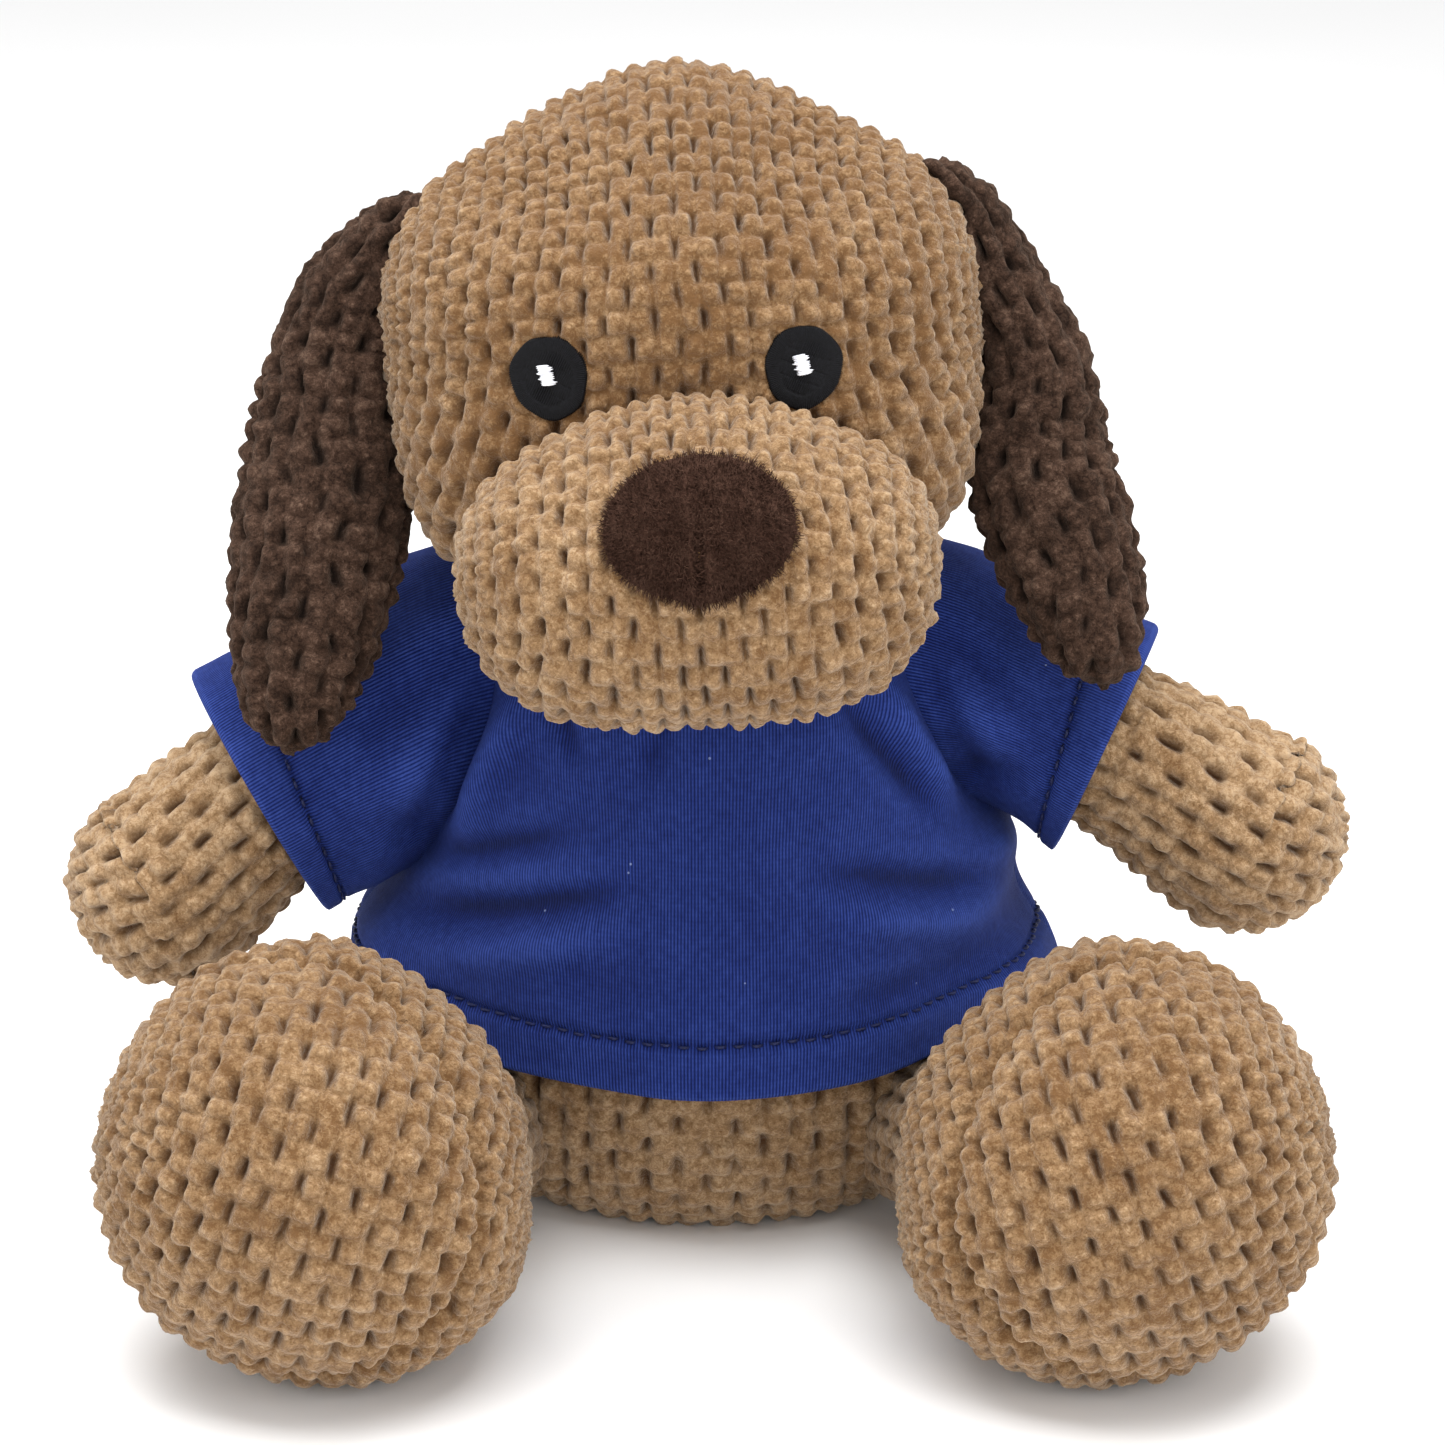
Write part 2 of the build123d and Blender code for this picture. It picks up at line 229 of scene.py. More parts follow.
def make_object(name, points, faces):
    """A smooth mesh object from arrays, with its faces turned outward."""
    faces = faces if isinstance(faces, list) else faces.tolist()
    points = np.asarray(points)
    a, b, c = (points[[face[i] for face in faces]] for i in range(3))
    if (np.cross(b - a, c - a) * ((a + b + c) / 3 - points.mean(0))).sum() < 0:
        faces = [face[::-1] for face in faces]
    mesh = bpy.data.meshes.new(name)
    mesh.from_pydata(points.tolist(), [], faces)
    mesh.shade_smooth()
    piece = bpy.data.objects.new(name, mesh)
    bpy.context.scene.collection.objects.link(piece)
    return piece


def points_of(piece):
    """The points of a piece's mesh, as an array."""
    values = np.empty(len(piece.data.vertices) * 3)
    piece.data.vertices.foreach_get("co", values)
    return values.reshape(-1, 3)


def normals_of(piece):
    """The way that the surface faces at each point of a piece."""
    values = np.empty(len(piece.data.vertices) * 3)
    piece.data.vertex_normals.foreach_get("vector", values)
    return values.reshape(-1, 3)


def set_points(piece, points):
    """Move the points of a piece's mesh."""
    piece.data.vertices.foreach_set("co", np.asarray(points, np.float32).reshape(-1))
    piece.data.update()


def keep_value(piece, name, values):
    """Keep one number per point on the mesh, for a material to read."""
    layer = piece.data.attributes.new(name, "FLOAT", "POINT")
    layer.data.foreach_set("value", np.asarray(values, np.float32))


def values_of(piece, name):
    """The numbers kept on a piece's points under a name."""
    numbers = np.empty(len(piece.data.vertices), np.float32)
    piece.data.attributes[name].data.foreach_get("value", numbers)
    return numbers


def press_flat(piece):
    """The floor presses cloth flat: nothing reaches below it."""
    points = points_of(piece)
    points[:, 2] = np.maximum(points[:, 2], 0.1 * mm)
    set_points(piece, points)


# %% [markdown]
# ## Materials
# Every material is made from noise and simple maths in space, so nothing has to be drawn. A short
# helper adds nodes and joins them, which keeps each recipe readable. Colours are given as they
# look on a screen and turned into the shader's own linear numbers.

# %% Material helpers


def shade(red, green, blue):
    """A colour as it looks on a screen, 0 to 255, in linear numbers."""
    values = [c / 255 for c in (red, green, blue)]
    return (*[c / 12.92 if c <= 0.04045 else ((c + 0.055) / 1.055) ** 2.4 for c in values], 1)


def new_material(name, roughness=0.9, specular=0.2):
    """A material: itself, its shader and a maker of linked nodes."""
    material = bpy.data.materials.new(name)
    material.use_nodes = True
    tree = material.node_tree
    shader = tree.nodes["Principled BSDF"]
    shader.inputs["Roughness"].default_value = roughness
    shader.inputs["Specular IOR Level"].default_value = specular

    def node(kind, inputs=(), **settings):
        made = tree.nodes.new("ShaderNode" + kind)
        for key, value in settings.items():
            setattr(made, key, value)
        for key, value in dict(inputs).items():
            if isinstance(value, bpy.types.NodeSocket):
                tree.links.new(value, made.inputs[key])
            else:
                made.inputs[key].default_value = value
        return made

    return material, shader, node


def maths(node, operation, *values):
    """The result of one sum on sockets or numbers."""
    return node("Math", dict(enumerate(values)), operation=operation).outputs[0]


def blended(node, factor, first, second):
    """A mix of two colours."""
    return node("Mix", {0: factor, 6: first, 7: second}, data_type="RGBA").outputs[2]


def ramp(node, factor, stops):
    """A colour ramp through (place, colour) stops."""
    made = node("ValToRGB", {"Fac": factor})
    for element, stop in zip(made.color_ramp.elements, (stops[0], stops[-1])):
        element.position = stop[0]
        element.color = stop[1]
    for place, colour in stops[1:-1]:
        made.color_ramp.elements.new(place).color = colour
    return made.outputs["Color"]


def noise(node, scale, detail=2.0, distortion=0.0):
    """Noise in the piece's own space; scale is lumps per metre."""
    place = node("TexCoord").outputs["Object"]
    wanted = {"Vector": place, "Scale": scale, "Detail": detail, "Roughness": 0.6, "Distortion": distortion}
    return node("TexNoise", wanted).outputs["Fac"]


def add_bump(shader, node, height, distance, strength=1.0):
    """Fine relief from a height; distance is how tall it is in metres."""
    made = node("Bump", {"Height": height, "Strength": strength, "Distance": distance})
    shader.id_data.links.new(made.outputs["Normal"], shader.inputs["Normal"])


def set_colour(shader, colour):
    """Join a colour to the shader."""
    shader.id_data.links.new(colour, shader.inputs["Base Color"])


def set_sheen(shader, weight, tint, roughness=0.5):
    """The soft glow of loose fibre ends at the edges of a cloth."""
    shader.inputs["Sheen Weight"].default_value = weight
    shader.inputs["Sheen Roughness"].default_value = roughness
    shader.inputs["Sheen Tint"].default_value = tint


def speckled(name, finish, grain, dark, light, bump=None):
    """A material that wanders between two colours, and its shader.

    finish is (roughness, specular), grain is noise settings, and bump is noise settings, the depth
    and its strength.
    """
    material, shader, node = new_material(name, *finish)
    set_colour(shader, ramp(node, noise(node, *grain), [(0.3, dark), (0.7, light)]))
    if bump:
        bump_grain, depth, strength = bump
        add_bump(shader, node, noise(node, *bump_grain), depth, strength)
    return material, shader


floor_paper, _ = speckled("floor_paper", (0.9, 0.2), (3.0,), shade(244, 244, 244), shade(248, 248, 248))
floor = make_object("floor", [(-3, -3, 0), (3, -3, 0), (3, 3, 0), (-3, 3, 0)], [[0, 1, 2, 3]])
floor.data.materials.append(floor_paper)
floor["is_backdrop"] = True

# %% [markdown]
# ## Chenille plush
# The cloth is a chenille knit: thick soft yarn in rows of bobbles, each about four and a half
# millimetres wide. It is matt, but loose fibre ends catch light at the edges, which the shader's
# sheen gives. Its colour runs from painted shade at the bottom of the slots and between the crumbs
# of yarn to lighter tips, with small curls of pile. The tan and the brown plush share one recipe.

# %% Chenille material


def chenille(name, slot_shade_colour, root, middle, tip, glow, sheen):
    """Knobbly plush, from painted shade at the bottom of its slots to the tips of its yarn."""
    material, shader, node = new_material(name, 0.95, 0.1)
    place = node("TexCoord").outputs["Object"]
    wobble = node("TexNoise", {"Vector": place, "Scale": 500.0, "Detail": 2.0}).outputs["Color"]
    shifted = node("VectorMath", {0: wobble, 1: (0.0016, 0.0016, 0.0016)}, operation="MULTIPLY").outputs[0]
    shifted = node("VectorMath", {0: place, 1: shifted}, operation="ADD").outputs[0]
    crumb = node("TexVoronoi", {"Vector": shifted, "Scale": 640.0}).outputs["Distance"]
    curls = noise(node, 2100.0, 3.0, 1.0)
    tone_and_painted_light = node("Attribute", attribute_name="tone_and_painted_light").outputs["Fac"]
    deep = node("Attribute", attribute_name="deep").outputs["Fac"]
    tuft = maths(node, "SUBTRACT", 1.0, crumb)
    height = maths(node, "MULTIPLY_ADD", curls, 0.45, maths(node, "MULTIPLY", tuft, 0.55))
    # Painted shade between the crumbs: the yarn is darker where tuft is low, at the edges of each crumb.
    mixed = maths(node, "MULTIPLY_ADD", curls, 0.55, maths(node, "MULTIPLY", tuft, 0.22))
    # This value carries random tone and, on the tan plush, each piece's painted light and shade.
    mixed = maths(node, "MULTIPLY_ADD", tone_and_painted_light, 0.14, mixed)
    yarn = ramp(node, mixed, [(0.34, root), (0.50, middle), (0.64, tip)])
    # Painted shade: the deep value darkens the yarn to the slot colour in the slots and in the gaps between
    # rows.
    set_colour(shader, blended(node, deep, yarn, slot_shade_colour))
    add_bump(shader, node, height, 0.8 * mm, 0.8)
    set_sheen(shader, sheen, glow)
    return material


# The first colour of each plush is the painted shade at the bottom of its slots.
tan_plush = chenille("tan_chenille", shade(66, 40, 18), shade(104, 73, 42), shade(142, 112, 79),
                     shade(176, 148, 115), glow=shade(232, 218, 200), sheen=0.5)
ear_plush = chenille("brown_chenille", shade(14, 7, 4), shade(33, 21, 14), shade(66, 48, 38),
                     shade(98, 78, 65), glow=shade(150, 128, 112), sheen=0.3)
fibre, _ = speckled("white_stuffing", (1.0, 0.1), (900.0, 4.0, 2.0), shade(205, 203, 198),
                    shade(242, 241, 238), ((1400.0, 3.0, 3.0), 0.4 * mm, 1.0))

# %% [markdown]
# ## Bobbles and slots
# Between every second pair of bobbles there is a deep dark slot, and the slots of the next row
# stand half a step aside, like bricks. A picture of this on a smooth ball would look flat at its
# edges, so the mesh itself is pushed in at the slots and creases, along its own normals. How deep
# each point lies is kept on the mesh, and the material paints shade into the slots with it.

# %% Push a net into bobbles
bobble_width = 4.68 * mm
bobble_height = 4.17 * mm


def knobbles(piece, across, along, seed, tangle=0.35, slot_depth=1.5, soft=0.0, light=0.0):
    """Push a piece's points into bobbles.

    across and along are metres over the cloth. tangle bends the rows, soft from 0 to 1 flattens
    the bobbles, and light makes the yarn paler, and darker when below zero. On the tan plush this is
    painted light and painted shade: one material made lighter on some pieces and darker on others.
    """
    points = points_of(piece)
    bend = [cloud(points, 15 * mm, seed + i) * 2.0 + cloud(points, 5 * mm, seed + 5 + i) for i in (0, 1)]
    column = (across + bend[0] * tangle * mm) / bobble_width
    row = (along + bend[1] * tangle * mm) / bobble_height
    line = np.rint(column)
    odd = line % 2
    slot_row = 2 * np.rint((row - 0.5 - odd) / 2) + odd
    slot = np.stack([line, slot_row, line * 0], -1).astype(np.int64)
    luck = [hashed(slot, seed + 3 + i) for i in (0, 7, 8, 9)]
    beside = (column - line) * bobble_width / mm + 0.35 * luck[1]
    beside_slot = (row - 0.5 - slot_row) * bobble_height / mm + 0.35 * luck[2]
    reach = 1.85 + 0.4 * luck[3]
    slot_width = 0.70 + 0.10 * beside_slot
    dark = np.exp(-((beside / slot_width) ** 2) - (beside_slot / reach) ** 4) * (1 + 0.35 * luck[0])
    bobble = np.stack([np.floor(column), np.floor(row), line * 0], -1).astype(np.int64)
    swell = hashed(bobble, seed + 2)
    crease = ridge(beside, 0.8)
    gap = ridge((row - np.rint(row)) * bobble_height, 0.8 * mm) * (0.6 + 0.5 * swell)
    dome = np.abs(np.sin(column * math.pi) * np.sin(row * math.pi)) ** 0.8
    crumbs = cloud(points, 1.5 * mm, seed + 9) * (0.26 + 0.12 * tangle)
    crumbs += cloud(points, 2.8 * mm, seed + 10) * (0.12 + 0.3 * tangle)
    pile = cloud(points, 0.8 * mm, seed + 7) * 0.14
    relief = -slot_depth * dark - 0.34 * crease - 0.36 * gap + (0.70 + 0.34 * swell) * dome + crumbs
    relief = relief * (1 - soft) + pile
    set_points(piece, points + normals_of(piece) * (relief * mm)[:, None])
    # The deep value is painted shade: the material darkens the slots and the gaps between rows by it, less
    # where the plush is pressed soft.
    keep_value(piece, "deep", np.clip(dark + 0.10 * gap, 0, 1) * (1 - 0.8 * np.asarray(soft)))
    # tone varies at random from bobble to bobble, and light shifts it for the whole piece, which on the tan
    # plush is painted light and shade.
    tone_and_painted_light = 0.5 + 0.3 * swell * dome + 0.35 * cloud(points, 8 * mm, seed + 4)
    keep_value(piece, "tone_and_painted_light", np.clip(tone_and_painted_light, 0, 1) + light)


def finish_piece(piece, material, rides=None, stands_for=()):
    """Give a piece its material, its body and the frame nodes that it stands for."""
    piece.data.materials.append(material)
    if rides:
        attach(piece, rides)
    if stands_for:
        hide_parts(*stands_for)
    low, high = (np.round(f(0) / mm, 1) for f in (points_of(piece).min, points_of(piece).max))
    print(piece.name, len(piece.data.polygons), "faces, mm", low, high)
    return piece


def plush(name, net, seed, rides, stands_for, fill, colour=None, **bobbles):
    """A stuffed plush piece from its net: points, faces and the metres across and along its cloth."""
    points, faces, across, along = net
    piece = make_object(name, points, faces)
    knobbles(piece, across, along, seed, **bobbles)
    press_flat(piece)
    look, slot = colour or (tan_plush, "tan_plush")
    finish_piece(piece, look, rides, stands_for)
    return piece


def stuffing(name, points, faces, nodes, rides, inset=3.4):
    """The fibre inside a plush form: the same net drawn in, with soft lumps."""
    piece = make_object(name, points, faces)
    lumps = inset * mm + cloud(points, 7 * mm, len(name)) * 0.5 * mm
    set_points(piece, points - normals_of(piece) * lumps[:, None])
    press_flat(piece)
    finish_piece(piece, fibre, rides, nodes)
    return piece


# %% [markdown]
# ## Full forms
# A stuffed head is a little fuller than an egg, as the filling pushes the cloth out between its
# seams. A ball whose outline leans towards a rounded square, by an exponent over two, has that
# look, and a point on its front is easy to find again when the eyes are sewn on. Each form keeps
# its own tilted axes: across, forward and up.

# %% Stuffed ball forms


class Form:
    """A stuffed ball: its middle, half sizes across, forward, up and down, fullness, roll and pitch.

    fullness is the exponent of its outline at the top, the middle and the bottom. The back keeps
    the middle one.
    """

    def __init__(self, middle, half, fullness, roll=0.0, pitch=0.0):
        self.middle = np.array(middle)
        self.half = np.array(half)
        self.fullness = fullness
        roll = math.radians(roll)
        pitch = math.radians(pitch)
        across = np.array([math.cos(roll), 0, math.sin(roll)])
        up = np.array([-math.sin(roll), 0, math.cos(roll)])
        ahead = np.array([0, -1, 0])
        forward = ahead * math.cos(pitch) + up * math.sin(pitch)
        self.axes = np.array([across, forward, up * math.cos(pitch) - ahead * math.sin(pitch)])
        self.tree = None

    def place(self, local):
        """Points given in the form's own axes, in the frame's axes."""
        return self.middle + local @ self.axes

    def local(self, points):
        """Points of the frame in the form's own axes."""
        return (points - self.middle) @ self.axes.T

    def surface(self, directions):
        """Points of the form in unit directions given in its own axes."""
        top, middle, bottom = self.fullness
        up = directions[:, 2]
        power = middle + (top - middle) * smooth(up / 0.8)
        power = power + (bottom - middle) * smooth(-up / 0.6) * smooth(1 + 1.6 * directions[:, 1])
        size = np.repeat(self.half[None, :3], len(directions), 0)
        size[:, 2] = np.where(up < 0, self.half[3], self.half[2])
        total = (np.abs(directions / size) ** power[:, None]).sum(1)
        return self.place(directions * (total ** (-1 / power))[:, None])

    def remember(self, points, faces):
        """Keep the finished form, to find its front again."""
        self.tree = BVHTree.FromPolygons(points.tolist(), faces.tolist())

    def front(self, x, z, lift):
        """Points on the front of the remembered form at x across and z up, lifted off it."""
        x, z, lift = np.broadcast_arrays(x, z, lift)
        starts = self.place(np.stack([x, x * 0 + 0.2, z], -1))
        spots = np.empty(starts.shape)
        for index in np.ndindex(x.shape):
            spot, normal, _, _ = self.tree.ray_cast(Vector(starts[index]), Vector(-self.axes[1]))
            outward = normal if normal.dot(self.axes[1]) > 0 else -normal
            spots[index] = spot + outward * lift[index]
        return spots

    def cloth(self, directions):
        """Metres across and along the cloth, from its middle at the front."""
        across = np.arcsin(np.clip(directions[:, 0], -1, 1)) * self.half[0]
        along = np.arctan2(directions[:, 2], directions[:, 1]) * (self.half[1] + self.half[2]) / 2
        return across, along


def box_middle(node):
    """The middle of a frame node's box."""
    low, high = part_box(node)
    return np.array((low + high) / 2)


def box_half(node):
    """Half of a frame node's box, along x, y and z."""
    low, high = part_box(node)
    return np.array((high - low) / 2)


# %% [markdown]
# ## Head
# The head is made of a few panels of the tan plush, stuffed firm, with its rows of bobbles
# running across the face and climbing to a low point where the panels meet on top. It tips a few
# degrees to one side. Where an eye will be embroidered the plush is pressed flat.

# %% Head
head_roll = 3.4
head_box = box_half("head_shell")
head_half = (head_box[0] - 0.3 * mm, head_box[1] - 0.5 * mm, head_box[2] - 1.3 * mm, head_box[2] + 5 * mm)
head = Form(box_middle("head_shell") - (0, 0, 1.2 * mm), head_half, (1.66, 2.25, 3.5), roll=head_roll)
ball, ball_faces = quad_ball(120)
eye_place = {}
for side, nudge in (("left", (-1.3 * mm, -0.5 * mm)), ("right", (-0.3 * mm, 0))):
    x, _, z = head.local(box_middle(f"{side}_eye_embroidery"))
    eye_place[side] = (x + nudge[0], z + nudge[1])
eye_half = (6.15 * mm, 6.75 * mm)

points = head.surface(ball)
local = head.local(points)
peak = ridge(np.hypot(local[:, 0] - 1 * mm, local[:, 1]), 14 * mm) * smooth(local[:, 2] / (30 * mm))
outward = local / np.linalg.norm(local, axis=1)[:, None]
local += outward * (peak * 0.8 * mm)[:, None]
chin_limit = 41.5 * mm + 5 * mm * smooth((np.abs(local[:, 0]) - 20 * mm) / (15 * mm))
local[:, 2] = np.maximum(local[:, 2], -chin_limit)
points = head.place(local)
head.remember(points, ball_faces)
pressed = np.zeros(len(points))
for x, z in eye_place.values():
    away = np.hypot((local[:, 0] - x) / eye_half[0], (local[:, 2] - z) / eye_half[1])
    pressed = np.maximum(pressed, smooth((1.12 - away) / 0.15) * (local[:, 1] > 0))
head_net = (points, ball_faces, *head.cloth(ball))
# The head's yarn gets painted shade: light below zero makes it darker.
plush("head", head_net, 11, "head", ["head_shell"], 0.9, soft=pressed, light=-0.5)

# %% Head filling
small_ball, small_faces = quad_ball(30)
stuffing("head_fibre", head.surface(small_ball), small_faces, ["head_filling"], "head", 7.0)

# %% [markdown]
# ## Muzzle
# The muzzle is its own small bag, sewn to the front of the head. Only its front shows. Its back
# lies inside the head, so the crease between the two is a real one. Its underside is fuller than
# its top.

# %% Muzzle
muzzle_half = box_half("muzzle_shell")
muzzle_half = (muzzle_half[0] + 1.0 * mm, 27.3 * mm, muzzle_half[2] + 1.0 * mm, muzzle_half[2] - 2.6 * mm)
muzzle_low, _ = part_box("muzzle_shell")
muzzle_middle = box_middle("muzzle_shell")
muzzle_middle[1] = muzzle_low.y + muzzle_half[1] + 0.3 * mm
muzzle_middle[2] -= 1.5 * mm
muzzle = Form(muzzle_middle, muzzle_half, (1.9, 2.3, 2.7), roll=head_roll)
muzzle_ball, muzzle_faces = quad_ball(88)
points = muzzle.surface(muzzle_ball)
muzzle.remember(points, muzzle_faces)
nose_x, _, nose_z = muzzle.local(box_middle("nose_patch"))
nose_z -= 0.6 * mm
nose_half = (15.2 * mm, 10.1 * mm)
local = muzzle.local(points)
away = np.hypot((local[:, 0] - nose_x) / nose_half[0], (local[:, 2] - nose_z) / nose_half[1])
under_nose = smooth((1.06 - away) / 0.12) * (local[:, 1] > 0)
muzzle_net = (points, muzzle_faces, *muzzle.cloth(muzzle_ball))
plush("muzzle", muzzle_net, 23, "head", ["muzzle_shell"], 0.85, soft=under_nose)
stuffing("muzzle_fibre", muzzle.surface(small_ball), small_faces, ["muzzle_filling"], "head")

# %% [markdown]
# ## Nose
# The nose is a smooth oval of short dark pile, sewn on and pulled in by one upright tuck, where a
# stitch of golden thread shows. It is a round grid laid on the muzzle's own surface, plump in the
# middle and turned down at its edge, with the pile roughening its outline.

# %% Nose
nose_pile, shader, node = new_material("nose_pile", 0.95, 0.1)
hairs = noise(node, 2600.0, 3.0, 0.8)
patches = noise(node, 260.0, 2.0)
mixed = maths(node, "MULTIPLY_ADD", patches, 0.35, maths(node, "MULTIPLY", hairs, 0.65))
browns = [(0.36, shade(47, 29, 21)), (0.50, shade(70, 48, 39)), (0.66, shade(95, 70, 58))]
set_colour(shader, ramp(node, mixed, browns))
add_bump(shader, node, hairs, 0.4 * mm, 0.8)
set_sheen(shader, 0.15, shade(120, 90, 74))


def round_grid(rings, around):
    """Share of the way out and angle, for the rings of a disc."""
    turns = np.linspace(0, 2 * math.pi, around, endpoint=False)
    return np.meshgrid(np.linspace(0.01, 1, rings), turns, indexing="ij")


out, turn = round_grid(70, 300)
tip = 1 + 0.06 * ridge(turn - 1.5 * math.pi, 0.22)
downward = np.clip(-np.sin(turn), 0, 1)
x = nose_x + out * nose_half[0] * np.cos(turn) * (1 - 0.07 * downward**2)
z = nose_z + out * nose_half[1] * np.sin(turn) * tip
tuck = ridge(x - nose_x + 0.3 * mm, 0.75 * mm) * smooth((nose_z + 2.5 * mm - z) / (4 * mm))
tuck *= smooth((z - nose_z + 10.5 * mm) / (4 * mm))
plump = 2.1 * mm * (1 - out**5) + 0.1 * mm - 1.5 * mm * tuck
spots = np.stack([x, z, x * 0], -1)
tufts = cloud(spots, 0.9 * mm, 31) * 0.12 + cloud(spots, 0.5 * mm, 32) * 0.08
nose_rings = muzzle.front(x, z, plump + tufts * mm)
under = muzzle.front(nose_x + (x - nose_x) * 0.9, nose_z + (z - nose_z) * 0.9, -0.8 * mm)[-1:]
nose = make_object("nose", *closed_tube(np.concatenate([nose_rings, under])))
finish_piece(nose, nose_pile, "head", ["nose_patch"])

# %% [markdown]
# ## Thread
# Embroidery and top-stitching are bright rayon or matt polyester. A stitch is a short thread that
# rises out of the cloth and dives back in, so each one is built as its own little rounded rod.

# %% Thread


def thread(name, colour, light, roughness=0.55, shine=0.35, glow=0.1):
    """A material for sewing thread, between two close colours."""
    material, shader, node = new_material(name, roughness, shine)
    set_colour(shader, ramp(node, noise(node, 2400.0, 2.0), [(0.35, colour), (0.7, light)]))
    add_bump(shader, node, noise(node, 4200.0, 1.0), 0.1 * mm, 0.6)
    set_sheen(shader, glow, light)
    return material


black_thread = thread("black_thread", shade(2, 2, 4), shade(13, 13, 18), 0.6, 0.16, 0.0)
white_thread = thread("white_thread", shade(214, 216, 226), shade(250, 250, 252))
golden_thread = thread("golden_thread", shade(150, 108, 44), shade(196, 152, 80))
navy_thread = thread("navy_thread", shade(8, 16, 52), shade(20, 32, 84))


def rods(paths, thickness, around=7):
    """Rounded rods along paths, an array (rods, steps, 3), as one mesh."""
    paths = np.asarray(paths, float)
    steps = paths.shape[1]
    along = np.gradient(paths, axis=1)
    along /= np.linalg.norm(along, axis=2, keepdims=True) + 1e-12
    helper = np.where(np.abs(along[..., 2:3]) < 0.8, [0, 0, 1.0], [0, 1.0, 0])
    across = np.cross(along, helper)
    across /= np.linalg.norm(across, axis=2, keepdims=True)
    second = np.cross(across, along)
    share = np.linspace(-1, 1, steps)
    size = thickness / 2 * np.sqrt(np.clip(1 - np.abs(share) ** 4, 0.04, 1))
    angle = np.linspace(0, 2 * math.pi, around, endpoint=False)
    ring = across[:, :, None] * np.cos(angle)[:, None] + second[:, :, None] * np.sin(angle)[:, None]
    rings = paths[:, :, None] + ring * size[:, None, None]
    points, faces, start = [], [], 0
    for one in rings:
        part, part_faces = closed_tube(one)
        points.append(part)
        faces += [[i + start for i in face] for face in part_faces]
        start += len(part)
    return np.concatenate(points), faces


# %% [markdown]
# ## Eyes
# Each eye is machine embroidery: a filled oval of slanting threads inside a thick satin border,
# whose threads run outward like rays. The threads are real ridges, about a third of a millimetre
# apart, in a disc that follows the pressed-in plush. A small block of white satin is the glint.

# %% Eyes
thread_step = 0.36 * mm
for side, (eye_x, eye_z) in eye_place.items():
    out, turn = round_grid(54, 560)
    x = out * eye_half[0] * np.cos(turn)
    z = out * eye_half[1] * np.sin(turn)
    rays = np.abs(np.sin(turn * 58 + 2.0 * out))
    border = smooth((out - 0.62) / 0.06)
    slanting = np.abs(np.sin(math.pi * (x * 0.9 - z * 0.45) / thread_step))
    rows = np.abs(np.sin(math.pi * (x * 0.45 + z * 0.9) / (2.2 * mm)))
    dip = np.clip(1 - ((out - 0.82) / 0.19) ** 2, 0, 1) ** 0.5
    satin = 0.20 * dip + 0.10 * rays - 0.05
    filled = 0.15 * slanting - 0.10 * (1 - rows) ** 3
    edge = 1.2 * smooth((out - 0.965) / 0.035)
    raised = border * satin + (1 - border) * filled
    raised = (0.55 + raised - edge) * mm
    uneven = 1 + 0.035 * rays * border + 0.02 * np.sin(3 * turn + sides[side]) + 0.014 * np.sin(7 * turn)
    rings = head.front(eye_x + x * uneven, eye_z + z * uneven, raised)
    under = head.front(eye_x + x * 0.9, eye_z + z * 0.9, -0.6 * mm)[-1:]
    eye = make_object(f"{side}_eye", *closed_tube(np.concatenate([rings, under])))
    finish_piece(eye, black_thread, "head", [f"{side}_eye_embroidery"])
    steps = np.linspace(-1, 1, 7)
    paths = []
    for i, height in enumerate(np.linspace(-1.5, 1.5, 11)):
        half_width = 1.2 + 0.18 * math.sin(i * 2.4)
        shift = 0.14 * math.sin(i * 1.7) - 0.22 * height
        along = eye_x - 0.3 * mm + (shift + half_width * steps) * mm
        up = eye_z + 0.55 * mm + (height + 0.12 * steps) * mm
        paths.append(head.front(along, up, (0.72 + 0.30 * (1 - steps**2)) * mm))
    glint = make_object(f"{side}_glint", *rods(paths, 0.42 * mm))
    finish_piece(glint, white_thread, "head", [f"{side}_eye_glint"])

# %% [markdown]
# ## Golden stitch
# One short upright stitch of golden thread lies in the tuck of the nose. It is a rod like the
# others, laid a little above the pile.

# %% Golden stitch in the nose tuck
steps = np.linspace(-1, 1, 7)
path = muzzle.front(nose_x - 0.25 * mm + 0.1 * mm * steps, nose_z - 2.9 * mm + 0.8 * mm * steps,
                    (1.15 + 0.3 * (1 - steps**2)) * mm)
nose_stitch = make_object("nose_stitch", *rods([path], 0.32 * mm))
finish_piece(nose_stitch, golden_thread, "head")

# %% [markdown]
# ## Pile on the nose
# The nose cloth has a short soft pile. It is dense enough to be seen at the outline, so it is made
# of real hairs: a few thousand fine rods that stand up, lean a little at random and droop.

# %% Nose hairs
hair_count = 8000
random = np.random.default_rng(3)
rows, columns = nose_rings.shape[:2]
row = (np.sqrt(random.random(hair_count)) * (rows - 1)).astype(int)
column = random.integers(0, columns, hair_count)
roots = nose_rings[row, column]
upright = normals_of(nose)[row * columns + column]
lean = random.normal(0, 0.35, (hair_count, 3)) + np.array([0, 0, -0.25])
length = (0.9 + 0.5 * random.random(hair_count))[:, None] * mm
paths = np.stack([roots - upright * 0.1 * mm, roots + (upright * 0.6 + lean * 0.2) * length,
                  roots + (upright + lean) * length], axis=1)
nose_hairs = make_object("nose_hairs", *rods(paths, 0.17 * mm, around=3))
finish_piece(nose_hairs, nose_pile, "head")

